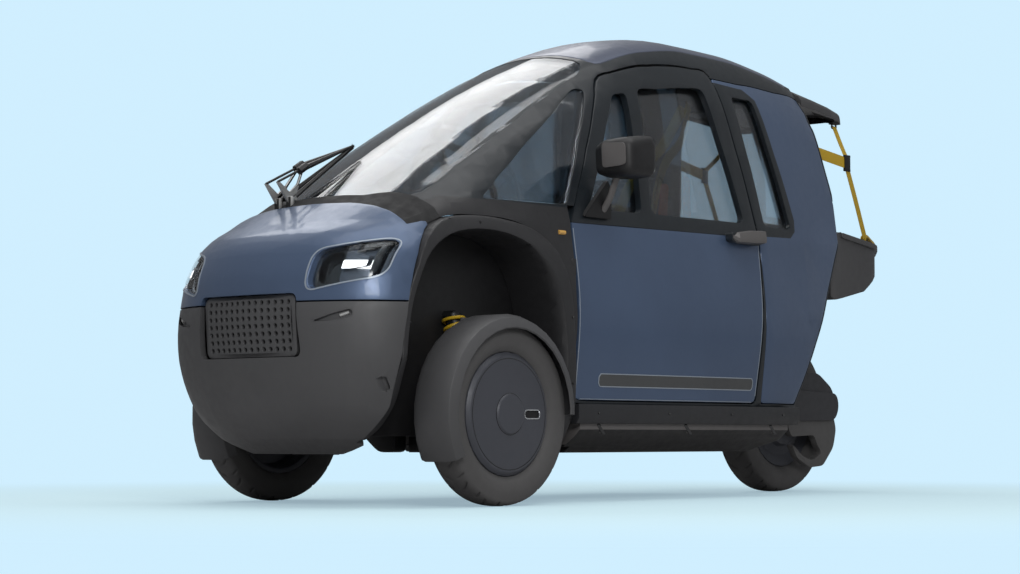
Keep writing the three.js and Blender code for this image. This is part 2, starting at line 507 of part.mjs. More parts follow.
// pantograph wiper parked up the middle of the screen: two upright brackets on bushes, two arms each
// from a bracket to a joint block, and two carriers that meet at the tip
const WIPER = [
  // y, bracket's foot x, joint x, height of the joint over the glass
  [-128, 256, 206, 84], [-172, 262, 178, 78],
];
const TIP = [-28, -146, 1096];
const glassZ = (x) => mix(800, 925, (400 - x) / 200); // middle line of the screen
add('wiper', cut(union([
  ...WIPER.flatMap(([y, foot, joint, up]) => {
    const z = glassZ(foot);
    const end = [joint, y, glassZ(joint) + up];
    return [
      bar([foot, y, z - 20], [foot, y, z + 26], 13, 8),
      side([[foot - 14, z + 14], [foot + 12, z + 8], [foot + 58, z + 66], [foot + 50, z + 70],
        [foot + 6, z + 40], [foot - 26, z + 66], [foot - 32, z + 60]], y - 3, y + 3),
      bar([foot + 52, y, z + 67], end, 4, 6), bar([foot - 28, y, z + 62], end, 5, 6),
      bar([end[0] + 16, y, end[2] - 10], [end[0] - 16, y, end[2] + 10], 12, 6), bar(end, TIP, 9, 6, 4),
      bar([foot - 10, y, z + 22], TIP, 8, 6, 4),
    ];
  }),
  bar([244, -118, glassZ(244) + 14], [244, -182, glassZ(244) + 14], 7, 6),
]), cabin(-COWL_T - 0.4)), 'black');

// ---------------------------------------------------------------- tail: lid and drop-down tray
const turnY = (m, [x, z], deg) => m.translate([-x, 0, -z]).rotate([0, deg, 0]).translate([x, 0, z]);
// the lid carries the roof section on and flattens towards its rear lip; drawn shut
const LID = [
  // x, zTop, yHalf, drop at the edge
  [rear(196), 1490, 262, 84], [rear(110), 1455, 263, 68], [rear(10), 1414, 257, 54],
  [rear(-80), 1377, 241, 42], [rear(-125), 1358, 214, 32], [rear(-144), 1348, 160, 20],
].map((r) => Object.fromEntries(['x', 'zT', 'y', 'drop'].map((k, i) => [k, r[i]])));
function lid(edge, top, thick) {
  return loft(LID.map((s) => {
    const y = s.y - edge;
    const z = s.zT - top;
    const up = [[0, z], [0.55 * y, z - 0.22 * s.drop], [y - 8, z - 0.9 * s.drop], [y, z - s.drop - 6]];
    const low = up.map((q) => [q[0], q[1] - thick]).reverse();
    const half = [...up, ...low];
    const other = half.slice(1, -1).reverse().map((q) => [-q[0], q[1]]);
    return [...half, ...other].map((q) => [s.x, q[0], q[1]]);
  }));
}
const lidPan = both(lid(22, 10, 60), box(rear(-122), rear(172), -300, 300, 1200, 1600));
const barrels = ([x, z], y, r) => [-1, 1].map((k) => bar([x, k * y, z], [x, k * (y + 40), z], r, 12));
const lidTabs = bothSides(box(rear(180), rear(208), BARREL_H, BARREL_H + 40, 1483, 1492));
add('hatch', turnY(union([cut(lid(0, 0, 24), lidPan, lugs(HINGE_H, BARREL_H, 60, 5)), lidTabs,
  ...barrels(HINGE_H, BARREL_H, 7)]), HINGE_H, 9), 'dark');
const gateSide = [[rear(80), 936], [rear(-372), 888], [rear(-360), 862], [rear(-130), 728],
  [rear(64), 690], [rear(76), 700]];
const gateIn = [[rear(66), 960], [rear(-354), 960], [rear(-348), 874], [rear(-124), 744], [rear(62), 706]];
const gatePlan = [[rear(82), -336], [rear(82), 336], [rear(-220), 318], [rear(-380), 200],
  [rear(-380), -200], [rear(-220), -318]];
const gatePlanIn = [[rear(68), -320], [rear(68), 320], [rear(-212), 302], [rear(-364), 190],
  [rear(-364), -190], [rear(-212), -302]];
const gateRim = both(side([[rear(40), 932], [rear(-386), 887], [rear(-384), 868], [rear(40), 913]],
  -400, 400, 6), plan(grow(gatePlan, 11), 500, 1200, 50));
add('tailgate', union([...barrels(HINGE_G, BARREL_G, 8),
  cut(union([both(side(gateSide, -400, 400), plan(gatePlan, 500, 1200, 50)), gateRim]),
    lugs(HINGE_G, BARREL_G, 60, 5),
    both(side(gateIn, -400, 400), plan(gatePlanIn, 500, 1200, 50)))]), 'dark');

// ---------------------------------------------------------------- rear swing arm, hugger, shock, plate
// cover outline round the rear axle in tyre radii, [forward, up]: a broad shield ending in a hook
const COVER = [
  [0.1, 0.5], [-0.34, 0.46], [-0.62, 0.3], [-0.8, 0.04], [-0.88, -0.19], [-0.81, -0.43], [-0.56, -0.67],
  [-0.26, -0.69], [0.04, -0.57], [0.17, -0.38], [0.07, -0.43], [-0.08, -0.54], [-0.32, -0.6],
  [-0.53, -0.5], [-0.42, -0.39], [-0.36, -0.27], [0.18, -0.29], [0.26, -0.13], [0.2, 0.1]];
const round = (pts, r) => pts.map(([u, v]) => [rear(u * r), R_REAR + v * r]);
const ARM_Y = TONGUE_Y; // inner face of the arm
add('swing_arm', union([
  side([[rear(412), R_REAR + 18], [rear(362), R_REAR + 112], [rear(305), R_REAR + 140],
    [rear(120), R_REAR + 90], [rear(-40), R_REAR + 40], [rear(-50), R_REAR - 44], [rear(60), R_REAR - 62],
    [rear(180), R_REAR - 40], [rear(412), R_REAR - 46]], ARM_Y, ARM_Y + 26, 30),
  side(round(COVER, R_REAR), ARM_Y + 14, ARM_Y + 40, 18),
  bar([rear(0), 58 + SEAT, R_REAR], [rear(0), ARM_Y + 40, R_REAR], 40, 20),
]), 'dark');
const HUG = R_REAR + 18;
const hug = turned([[HUG, -68], [HUG, 68], [HUG - 16, 76], [HUG - 13, 80], [HUG + 5, 71],
  [HUG + 5, -71], [HUG - 13, -80], [HUG - 16, -76]], rear(0), R_REAR, 36);
add('rear_hugger', union([
  both(hug, side([[rear(0), R_REAR], [rear(380), R_REAR - 22], [rear(380), 2 * R_REAR + 136],
    [rear(-80), 2 * R_REAR + 136]], -120, 120)),
  side([[rear(310), R_REAR + 98], [rear(250), R_REAR + 98], [rear(180), R_REAR + 248],
    [rear(210), R_REAR + 278], [rear(320), R_REAR + 218]], 70, ARM_Y - SEAT),
  side([[rear(104), R_REAR + 278], [rear(30), R_REAR + 310], [rear(30), R_REAR + 358],
    [rear(76), R_REAR + 402], [rear(90), R_REAR + 402]], 58, 66),
]), 'black');
add('rear_shock', union([bar([rear(335), 0, R_REAR + 10], [rear(308), 0, 465], 20, 16),
  bar([rear(308), 0, 455], [rear(347), 0, 455], 8, 10)]), 'yellow');
const STRAP_Y = 312;
const STRAP_TOP = 1174; // below the buckle on its tab
const strapRoom = union([side([[rear(440), 306], [rear(90) - SEAT, 930], [rear(234) - SEAT, 1560],
  [rear(580), 1560]], STRAP_Y - 18, STRAP_Y + 22), side([[rear(90), 937.7], [rear(-380), 887.8],
  [rear(-380), 600], [rear(90), 600]], STRAP_Y - 18, STRAP_Y + 22)]);
pair('strap', cut(side([[rear(-17), STRAP_TOP], [rear(-43), STRAP_TOP], [rear(-172), 900], [rear(-146), 900]],
  STRAP_Y, STRAP_Y + 3), strapRoom), 'yellow');

// ---------------------------------------------------------------- front suspension
const ARM_LOW = R_FRONT - KING - 16 - SEAT;
const ARM_TOP = R_FRONT + KING + 2 + SEAT;
const arm = (z) => union([1, -1].map((k) => plan([[k * 90, TUB_Y], [k * 60, TUB_Y], [k * -24, FY - 113],
  [k * -24, FY - 80], [k * 24, FY - 80], [k * 24, FY - 113]], z, z + 16)));
pair('suspension', union([arm(ARM_LOW), arm(ARM_TOP), box(-92, 92, TUB_Y, TUB_Y + 8, ARM_LOW, ARM_TOP + 16),
  bar([-6, TUB_Y + 28, 560], [-6, FY - 135, ARM_TOP + 4], 24, 16),
  bar([-6, TUB_Y + 1, 556], [-6, TUB_Y + 38, 556], 16, 12)]), 'yellow');

export default group;
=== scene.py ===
# %% [markdown]
# This is a narrow electric microcar on three wheels. Its solid pieces are loaded as a fixed frame, each on
# the body that carries it. They could be modelled again here, but the finished car would then drift away
# from the one that was measured. The box of the frame is kept.

# %% load the frame
import json
import math
import bmesh
import bpy
import numpy as np
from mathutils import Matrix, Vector
from mathutils.bvhtree import BVHTree


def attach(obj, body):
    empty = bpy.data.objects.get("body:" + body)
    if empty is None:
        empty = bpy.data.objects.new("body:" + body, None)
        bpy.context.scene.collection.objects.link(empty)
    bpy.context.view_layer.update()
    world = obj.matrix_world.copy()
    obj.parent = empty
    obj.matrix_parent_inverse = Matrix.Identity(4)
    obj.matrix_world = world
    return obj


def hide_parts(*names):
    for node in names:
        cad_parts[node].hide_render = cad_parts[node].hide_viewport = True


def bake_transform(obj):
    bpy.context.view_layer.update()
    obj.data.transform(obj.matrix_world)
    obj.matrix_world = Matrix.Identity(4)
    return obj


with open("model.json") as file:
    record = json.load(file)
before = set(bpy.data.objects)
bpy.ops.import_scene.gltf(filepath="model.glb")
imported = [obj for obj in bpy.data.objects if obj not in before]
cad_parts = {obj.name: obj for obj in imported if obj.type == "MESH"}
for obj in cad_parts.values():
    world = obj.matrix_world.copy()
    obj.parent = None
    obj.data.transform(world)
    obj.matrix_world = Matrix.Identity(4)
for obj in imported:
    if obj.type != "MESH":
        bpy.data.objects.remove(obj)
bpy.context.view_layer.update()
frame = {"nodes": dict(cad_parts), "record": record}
nodes = frame["nodes"]
behaviour = frame["record"]["behaviour"]
body_of = {node: body for body, held in behaviour["bodies"].items() for node in held}

# %% [markdown]
# A car is drawn from its axles, so the trim is placed from them too. The joints of the wheels say where
# they are. X points forward, Y to the left and Z up, and a piece for one side is made again for the other.

# %% axles and sides
joint_at = {joint["name"]: joint["pos_m"] for joint in behaviour["joints"]}
AXLE_F, FRONT_Y, R_FRONT = joint_at["wheel_left_spin"]
AXLE_R, _, R_REAR = joint_at["wheel_rear_spin"]
SIDES = (("left", 1), ("right", -1))
AT = lambda x, y, z: Vector((AXLE_F + x, y, z))     # measured from the front axle
TAIL = lambda x, y, z: Vector((AXLE_R + x, y, z))   # measured from the rear axle
print("wheelbase", round(AXLE_F - AXLE_R, 3), "track", round(2 * FRONT_Y, 3))

# %% [markdown]
# The camera stands near the floor at the front left and looks slightly up, which makes a small car look
# tall. A wide lens would swell the near lamp, so the lens is long and the camera stands well back.

# %% camera
scene = bpy.context.scene


def place(name, data):
    """Puts new data into the scene as an object."""
    ob = bpy.data.objects.new(name, data)
    scene.collection.objects.link(ob)
    return ob


def aim(ob, at, along):
    """Stands a camera or a light at a point, looking along a direction."""
    ob.location = at
    ob.rotation_euler = along.to_track_quat("-Z", "Y").to_euler()


CAM_AT = Vector((6.16, 4.98, 0.20))
yaw, pitch = math.radians(220.6), math.radians(3.6)
cam = bpy.data.cameras.new("camera")
cam.lens = 84
cam.sensor_width = 36
cam.clip_end = 60
scene.camera = place("camera", cam)
aim(scene.camera, CAM_AT, Vector((math.cos(yaw) * math.cos(pitch), math.sin(yaw) * math.cos(pitch),
                                  math.sin(pitch))))
scene.view_settings.view_transform = "Standard"
print("camera", tuple(CAM_AT), "lens", cam.lens)

# %% [markdown]
# Painted panels show their curves by what they mirror. Small lamps would give hard spots, so large soft
# panels of light are used: one above, one at the front left, and one behind that the windscreen mirrors.

# %% lights
LIGHTS = [
    # name, place, aimed at, size, watts
    ("light_top", (0.6, 0.9, 4.8), (0, 0, 0.8), (5.0, 3.6), 100),
    ("light_fill", (4.4, 4.4, 2.8), (0.3, 0.2, 0.5), (2.0, 1.5), 115),
    ("light_screen", (-1.7, -3.3, 4.7), (0.5, 0, 1.1), (3.4, 2.0), 62),
]
for name, at, to, size, watts in LIGHTS:
    light = bpy.data.lights.new(name, "AREA")
    light.shape = "RECTANGLE"
    light.size, light.size_y = size
    light.energy = watts
    aim(place(name, light), at, Vector(to) - Vector(at))
print("lights", len(LIGHTS))

# %% [markdown]
# No real surface is one flat tone. Picture textures would need a flattened copy of every piece, so each
# finish is built from noise in object space: a slow noise varies the tone, a middle one scuffs the shine,
# and a fine one gives moulded plastic and cloth their grain.

# %% a finish


def add(tree, kind, modes=None, **values):
    """A new node with its modes set, and values for its inputs by name (From_Min sets From Min)."""
    made = tree.nodes.new(kind)
    for key, value in (modes or {}).items():
        setattr(made, key, value)
    for key, value in values.items():
        made.inputs[key.replace("_", " ")].default_value = value
    return made


SLOW, SCUFF = (2.3, 3), (38, 6)      # scale and detail of the noise in the tone and in the shine
GRAIN_DETAIL, GRAIN_DEPTH = 2, 0.001
SHINE_VARY = 0.1
COAT_ROUGH = 0.06


def finish(name, colour, rough, metal=0.0, vary=0.12, grain=0.0, grain_size=900, coat=0.0, wear=0.08, **more):
    """A material whose tone varies by vary, with scuffs by wear and a grain of the given strength."""
    m = bpy.data.materials.new(name)
    m.use_nodes = True
    m.diffuse_color = (*colour, 1)
    t = m.node_tree
    link = t.links.new
    base = t.nodes["Principled BSDF"]
    at = t.nodes.new("ShaderNodeTexCoord").outputs["Object"]

    def noise(scale, detail):
        made = add(t, "ShaderNodeTexNoise", Scale=scale, Detail=detail)
        link(at, made.inputs["Vector"])
        return made.outputs["Fac"]

    def spread(source, low, high, a, b):
        made = add(t, "ShaderNodeMapRange", From_Min=low, From_Max=high, To_Min=a, To_Max=b)
        link(source, made.inputs["Value"])
        return made.outputs["Result"]

    slow = noise(*SLOW)
    dark = [c * (1 - vary) for c in colour]
    light = [min(1, c * (1 + vary) + wear * 0.02) for c in colour]
    tone = add(t, "ShaderNodeMix", {"data_type": "RGBA"}, A=(*dark, 1), B=(*light, 1))
    link(spread(slow, 0.3, 0.7, 0, 1), tone.inputs["Factor"])
    link(tone.outputs["Result"], base.inputs["Base Color"])
    dull = min(1, rough * (1 + SHINE_VARY) + wear * 0.5)
    link(spread(noise(*SCUFF), 0.35, 0.75, rough * (1 - SHINE_VARY), dull), base.inputs["Roughness"])
    base.inputs["Metallic"].default_value = metal
    base.inputs["Coat Weight"].default_value = coat
    if coat:
        base.inputs["Coat Roughness"].default_value = COAT_ROUGH
    if grain:
        bump = add(t, "ShaderNodeBump", Strength=grain, Distance=GRAIN_DEPTH)
        link(noise(grain_size, GRAIN_DETAIL), bump.inputs["Height"])
        link(bump.outputs["Normal"], base.inputs["Normal"])
    for key, value in more.items():
        base.inputs[key.replace("_", " ")].default_value = value
    return m


print("a finish is noise in tone, shine and bump")

# %% [markdown]
# The doors, nose and roof are painted in a dull metallic blue under clear coat. On the roof that blue is
# made paler and greyer, a painted reflection of the sky. The lower panels are plastic, coloured right
# through and left grainy, so they get no coat and more grain. The frame round the glass is satin.

# %% paint and moulded plastic
FINISHES = {
    "blue": finish("paint_blue", (0.084, 0.127, 0.217), 0.38, 0.40, 0.08, 0.04, 2600, coat=0.22, wear=0.02),
    # the roof's blue is paler and greyer than the doors': a painted reflection of the sky
    "roof": finish("paint_roof_with_painted_sky_reflection", (0.096, 0.112, 0.160), 0.40, 0.40, 0.08, 0.04, 2600, coat=0.2, wear=0.02),
    "dark": finish("panel_dark", (0.074, 0.074, 0.077), 0.50, 0.0, 0.14, 0.25, 900),
    "cowl": finish("cowl_black", (0.008, 0.008, 0.009), 0.7, 0.0, 0.15, 0.2, 800),
    "wing": finish("fender_black", (0.024, 0.024, 0.026), 0.48, 0.0, 0.12, 0.2, 900),
    "frame": finish("frame_satin", (0.010, 0.014, 0.018), 0.40, 0.0, 0.10, 0.05, 1500, coat=0.06, wear=0.02),
    "black": finish("black_plastic", (0.010, 0.010, 0.011), 0.48, 0.0, 0.2, 0.2, 700),
    "gloss": finish("gloss_black", (0.006, 0.006, 0.007), 0.12, 0.0, 0.1, 0.0, coat=0.8, wear=0.02),
    "liner": finish("liner_grey", (0.060, 0.062, 0.066), 0.75, 0.0, 0.08, 0.35, 520),
    "grey": finish("moulded_grey", (0.090, 0.088, 0.087), 0.56, 0.0, 0.12, 0.25, 900),
    "slate": finish("cover_slate", (0.064, 0.068, 0.082), 0.45, 0.15, 0.10, 0.06, 1500),
    "pale": finish("pale_panel", (0.42, 0.42, 0.43), 0.5, 0.0, 0.06, 0.12, 800),
    "case": finish("arm_case_dark", (0.034, 0.035, 0.040), 0.5, 0.0, 0.1, 0.2, 900),
    "strip": finish("sill_strip", (0.022, 0.023, 0.026), 0.45, 0.0, 0.1, 0.15, 1000),
    "trim_grey": finish("trim_warm_grey", (0.125, 0.118, 0.116), 0.5, 0.0, 0.06, 0.12, 1100),
    "stripe": finish("stripe_grey", (0.075, 0.078, 0.080), 0.45, 0.1, 0.08, 0.15, 1200),
}
print("painted and moulded finishes", len(FINISHES))

# %% [markdown]
# Webbing and cloth scatter light and get the strongest grain, and rubber a little less. Steel, cast and
# bright metal differ from plastic mostly in being metallic, and bright metal in being smooth as well.

# %% rubber, cloth and metal
FINISHES.update({
    "tyre": finish("tyre_rubber", (0.088, 0.086, 0.086), 0.70, 0.0, 0.14, 0.35, 1100),
    "rubber": finish("black_rubber", (0.008, 0.008, 0.009), 0.7, 0.0, 0.15, 0.2, 800),
    "web": finish("yellow_webbing", (0.55, 0.36, 0.03), 0.85, 0.0, 0.14, 0.5, 1800),
    "seat": finish("seat_cloth", (0.030, 0.032, 0.036), 0.9, 0.0, 0.16, 0.6, 1500, Sheen_Weight=0.4),
    "orange": finish("orange_cloth", (0.55, 0.09, 0.03), 0.85, 0.0, 0.12, 0.5, 1500),
    "steel": finish("black_steel", (0.012, 0.012, 0.013), 0.38, 0.3, 0.2, 0.12, 600),
    "yellow": finish("yellow_coat", (0.62, 0.40, 0.02), 0.42, 0.0, 0.12, 0.1, 900),
    "alu": finish("cast_aluminium", (0.55, 0.55, 0.54), 0.38, 0.85, 0.08, 0.15, 1400),
    "chrome": finish("bright_trim", (0.72, 0.74, 0.76), 0.12, 1.0, 0.04, 0.0, wear=0.02),
    "line": finish("edge_line", (0.36, 0.41, 0.47), 0.35, 0.3, 0.05, 0.0, wear=0.02),
})
print("with rubber, cloth and metal", len(FINISHES))

# %% [markdown]
# The windows are tinted plastic and the lamps have clear covers over a dark reflector. Glass that only
# bends light would stay too dark over a dark cabin, so its alpha lets part of the view straight through.

# %% glass and lamps
GLASS_ROUGH, GLASS_IOR = 0.03, 1.45


def clear(name, colour, alpha):
    """A see-through finish. The lower its alpha, the more passes straight through."""
    return finish(name, colour, GLASS_ROUGH, 0.0, 0.04, 0.0, wear=0.0, Transmission_Weight=1.0, IOR=GLASS_IOR,
                  Alpha=alpha)


FINISHES.update({
    "glass": clear("window_glass", (0.085, 0.130, 0.175), 0.66),
    "lens": clear("lamp_lens", (0.80, 0.88, 0.95), 0.16),
    "bowl": finish("lamp_reflector", (0.10, 0.115, 0.14), 0.22, 0.6, 0.1, 0.0, wear=0.02),
    "led": finish("lamp_white", (0.9, 0.9, 0.9), 0.3, Emission_Color=(1, 1, 1, 1), Emission_Strength=1.4),
    "amber": finish("amber_lens", (0.75, 0.42, 0.10), 0.25, coat=0.5),
})
print("all finishes", len(FINISHES))

# %% [markdown]
# The cabin, roof and doors are one curved shape that the solid model draws with flat facets between
# stations. Subdividing each panel would soften its facets, but would also pull its seams open. So one field
# says how far any point near the skin moves, from the flat facets to a smooth curve through the same
# stations, and every panel follows it.

# %% stations of the body
CABIN = np.array([
    # mm from the front axle: x, roof z, then y and z of the shoulder, belt, widest place and sill
    [400, 800, 285, 775, 345, 745, 350, 600, 350, 300],
    [200, 925, 300, 885, 385, 800, 400, 600, 400, 300],
    [0, 1052, 300, 1000, 405, 835, 425, 600, 420, 300],
    [-200, 1175, 295, 1110, 412, 850, 440, 600, 425, 300],
    [-400, 1290, 290, 1215, 418, 855, 448, 600, 425, 300],
    [-580, 1382, 288, 1300, 422, 857, 452, 600, 428, 300],
    [-760, 1460, 287, 1372, 424, 859, 455, 600, 430, 300],
    [-960, 1520, 287, 1428, 425, 861, 457, 600, 431, 300],
    [-1200, 1550, 286, 1455, 424, 864, 455, 600, 428, 300],
    [-1450, 1548, 283, 1452, 418, 867, 445, 600, 418, 300],
    [-1700, 1525, 277, 1430, 402, 870, 420, 600, 390, 300],
    [-1960, 1480, 268, 1388, 376, 873, 382, 600, 345, 300],
], float)[::-1] * 0.001
NOSE = np.array([
    # mm: z, front x, half y, back x, and the exponent of the rounded plan, in thousandths
    [150, 386, 240, 260, 900], [195, 448, 338, 260, 800], [285, 505, 412, 260, 700],
    [420, 545, 453, 250, 680], [540, 562, 462, 240, 740], [640, 558, 456, 230, 790],
    [715, 530, 440, 215, 800], [775, 474, 415, 200, 800], [818, 396, 386, 190, 800],
    [852, 340, 358, 172, 800], [895, 270, 306, 150, 800],
], float) * 0.001
print("stations", len(CABIN), "along the cabin,", len(NOSE), "up the nose")

# %% [markdown]
# A curve through stations should not swing past them, or the roof would get a bump at each one. A monotone
# cubic never does, so it is used here, and the same function also gives the straight facets.

# %% straight and smooth rows, and the nearest place on a section


def hermite(f, h, start, start_slope, end, end_slope):
    """Cubic between two values at fraction f of a span h, with a slope at each end."""
    return ((2 * f ** 3 - 3 * f ** 2 + 1) * start + (f ** 3 - 2 * f ** 2 + f) * h * start_slope
            + (3 * f ** 2 - 2 * f ** 3) * end + (f ** 3 - f ** 2) * h * end_slope)


def rows_at(table, t, smooth):
    """Rows of a table at first-column values t: straight, or monotone cubic between the stations."""
    key, val = table[:, 0], table[:, 1:]
    i = np.clip(np.searchsorted(key, t) - 1, 0, len(key) - 2)
    h = (key[i + 1] - key[i])[:, None]
    f = np.clip((t - key[i])[:, None] / h, 0, 1)
    if not smooth:
        return val[i] * (1 - f) + val[i + 1] * f
    slope = np.diff(val, axis=0) / np.diff(key)[:, None]
    a, b = slope[:-1], slope[1:]
    inner = np.where(a * b > 0, 2 * a * b / np.where(np.abs(a + b) < 1e-9, 1, a + b), 0)
    m = np.vstack([slope[:1], inner, slope[-1:]])
    return hermite(f, h, val[i], m[i], val[i + 1], m[i + 1])


def nearest_on(corners, p):
    """Segment, fraction, place and distance of the nearest place on each point's own polyline."""
    a, b = corners[:, :-1], corners[:, 1:]
    d = b - a
    f = np.clip(((p[:, None] - a) * d).sum(2) / np.maximum((d * d).sum(2), 1e-12), 0, 1)
    dist = np.linalg.norm(a + d * f[..., None] - p[:, None], axis=2)
    k = dist.argmin(1)
    n = np.arange(len(p))
    part = f[n, k][:, None]
    return k, part, corners[n, k] * (1 - part) + corners[n, k + 1] * part, dist[n, k]


def ease(t):
    t = np.clip(t, 0, 1)
    return t * t * (3 - 2 * t)


fade = lambda dist, near, far: 1 - ease((dist - near) / (far - near))   # 1 on the skin, 0 past far
print("sections can be drawn flat or smooth")

# %% [markdown]
# Each section of the cabin runs from the middle of the roof over the shoulder, the window and the belt to
# the sill. The belt, the sill and the floor are real corners. The other corners are only steps in a curve,
# so the curve passes through them without a break.

# %% the cabin's field
SOFT_CORNERS = (1, 2, 3, 4, 6)       # the roof, the shoulder, the window and the widest place
FLOOR_SPAN = 7
LID_X, LID_Z = -1.885, 1.34          # the lid's seat, which stays as it is


def cabin_corners(r):
    """Half section: roof middle, two on the roof, shoulder, window, belt, widest, sill, floor middle."""
    z_t, y_s, z_s, y_b, z_b, y_m, z_m, y_l, z_l = r.T
    rise, o = z_t - z_s, np.zeros(len(r))
    mix = lambda p, q, f: p + (q - p) * f
    return np.stack([np.stack(c, 1) for c in (
        (o, z_t), (0.48 * y_s, z_t - 0.15 * rise), (0.84 * y_s, z_t - 0.54 * rise),
        (mix(y_s, y_b, 0.1) + 0.005, mix(z_s, z_b, 0.1)), (mix(y_s, y_b, 0.52) + 0.015, mix(z_s, z_b, 0.52)),
        (y_b, z_b), (y_m, z_m), (y_l, z_l), (o, z_l))], 1)


def cabin_move(p):
    x = p[:, 0] - AXLE_F
    yz = np.stack([np.abs(p[:, 1]), p[:, 2]], 1)
    fine = cabin_corners(rows_at(CABIN, x, True))
    k, f, here, dist = nearest_on(cabin_corners(rows_at(CABIN, x, False)), yz)
    step = np.diff(fine, axis=1)
    size = np.maximum(np.linalg.norm(step, axis=2, keepdims=True), 1e-9)
    unit = step / size
    into, away = np.empty_like(fine), np.empty_like(fine)
    into[:, 1:], away[:, :-1] = unit, unit
    into[:, 0], away[:, -1] = unit[:, 0], unit[:, -1]
    for c in SOFT_CORNERS:
        t = unit[:, c - 1] * size[:, c] + unit[:, c] * size[:, c - 1]
        t /= np.linalg.norm(t, axis=1, keepdims=True)
        into[:, c], away[:, c] = t, t
    away[:, 0] = (1, 0)              # the roof is level at its middle
    n = np.arange(len(p))
    there = hermite(f, size[n, k], fine[n, k], away[n, k], fine[n, k + 1], into[n, k + 1])
    off_seat = ease(np.maximum((x - LID_X) / 0.08, (LID_Z - yz[:, 1]) / 0.06))
    w = fade(dist, 0.045, 0.09) * (x < 0.41) * (x > -1.97) * (k < FLOOR_SPAN) * off_seat
    dy, dz = (there - here).T * w
    return np.stack([np.zeros(len(p)), dy * np.sign(p[:, 1]), dz], 1)


print("corners of a section that are rounded", len(SOFT_CORNERS))

# %% [markdown]
# The nose and bumper are rounded in plan like half a cushion, and a power of a sine and a cosine gives that
# with one number for how square the corner is. The solid model has seven points a side, and the field moves
# what lies between them out to the true curve.

# %% the nose's field
NOSE_TURN = np.array([0, 0.26, 0.46, 0.62, 0.77, 0.9, 1.0])   # where its points stand, as shares of a quarter


def nose_corners(r, u):
    """Half plan section from the middle to the side, at fractions u of its quarter turn."""
    x_f, y_h, x_b, e = r[:, 0:1], r[:, 1:2], r[:, 2:3], r[:, 3:4]
    a = u * math.pi / 2
    return np.stack([x_b + (x_f - x_b) * np.maximum(np.cos(a), 1e-9) ** e, y_h * np.sin(a) ** e], 2)


def nose_move(p):
    xy = np.stack([p[:, 0] - AXLE_F, np.abs(p[:, 1])], 1)
    z = p[:, 2]
    turn = np.broadcast_to(NOSE_TURN, (len(p), len(NOSE_TURN)))
    low = np.clip(np.searchsorted(NOSE[:, 0], z) - 1, 0, len(NOSE) - 2)
    g = np.clip((z - NOSE[low, 0]) / (NOSE[low + 1, 0] - NOSE[low, 0]), 0, 1)[:, None, None]
    flat = nose_corners(NOSE[low, 1:], turn) * (1 - g) + nose_corners(NOSE[low + 1, 1:], turn) * g
    k, f, here, dist = nearest_on(flat, xy)
    u = NOSE_TURN[k, None] * (1 - f) + NOSE_TURN[k + 1, None] * f
    there = nose_corners(rows_at(NOSE, z, True), u)[:, 0]
    w = fade(dist, 0.03, 0.06) * (xy[:, 0] > 0.19) * (z < 0.9) * (z > 0.15)
    dx, dy = (there - here).T * w
    return np.stack([dx, dy * np.sign(p[:, 1]), np.zeros(len(p))], 1)


print("the nose has", len(NOSE_TURN), "points a side")

# %% [markdown]
# The front wheel arch is a polygon of ten points in the solid model and an even sweep on the car. Both the
# opening and the outer edge of the fender are rounded from the middle of one side to the middle of the
# next, and what lies between the two edges moves by a share of each.

# %% the wheel arch's field
ARCH = [(345, 20), (345, 420), (318, 600), (236, 742), (96, 800), (-110, 800), (-238, 738), (-312, 600),
        (-338, 420), (-346, 20)]
ARCH_OUT = [(371, 116), (371, 440), (344, 630), (256, 790), (110, 846), (-130, 846), (-290, 796),
            (-374, 650), (-392, 440), (-397, 116)]
ARCH_FOOT = 0.16                     # how far up from its ends an arch stays straight
ARCH_STEPS = 12                      # points a corner

bent = lambda t, a, b, c: (1 - t) ** 2 * a + 2 * t * (1 - t) * b + t * t * c   # a curve from a to c by b


def arch_lines(corners, r):
    """The outline with its small corner radius, and the same outline rounded from middle to middle."""
    flat, fine = [], []
    pts = [Vector((x / 1000, z / 1000)) for x, z in corners]
    for i in range(1, len(pts) - 1):
        a, b, c = pts[i - 1:i + 2]
        start = (a + b) / 2 if i > 1 else b.lerp(a, min(1, ARCH_FOOT / (a - b).length))
        end = (b + c) / 2 if i < len(pts) - 2 else b.lerp(c, min(1, ARCH_FOOT / (c - b).length))
        back = min(r, (a - b).length / 2.01, (c - b).length / 2.01)
        p, q = b + (a - b).normalized() * back, b + (c - b).normalized() * back
        line = [start, p, bent(1 / 3, p, b, q), bent(2 / 3, p, b, q), q, end]
        run = np.cumsum([0] + [(after - before).length for before, after in zip(line, line[1:])])
        for t in np.arange(ARCH_STEPS) / ARCH_STEPS:
            along = t * run[-1]
            j = min(int(np.searchsorted(run, along, "right")) - 1, len(line) - 2)
            flat.append(line[j].lerp(line[j + 1], (along - run[j]) / max(run[j + 1] - run[j], 1e-9)))
            fine.append(bent(t, start, b, end))
    return np.array(flat), np.array(fine)


ARCHES = [arch_lines(ARCH_OUT, 0.040), arch_lines(ARCH, 0.060)]


def arch_move(p):
    xz = np.stack([p[:, 0] - AXLE_F, p[:, 2]], 1)
    moves, dists = [], []
    for flat, fine in ARCHES:
        k, f, _, dist = nearest_on(np.broadcast_to(flat, (len(p), *flat.shape)), xz)
        d = fine - flat
        moves.append(d[k] * (1 - f) + d[k + 1] * f)
        dists.append(dist)
    share = (dists[1] / np.maximum(dists[0] + dists[1], 1e-6))[:, None]
    w = fade(np.minimum(*dists), 0.012, 0.05) * (np.abs(p[:, 1]) > 0.25) * (p[:, 2] > 0.26)
    dx, dz = (moves[0] * share + moves[1] * (1 - share)).T * w
    return np.stack([dx, np.zeros(len(p)), dz], 1)


print("arch edges", len(ARCHES), "with", len(ARCHES[0][0]), "points each")

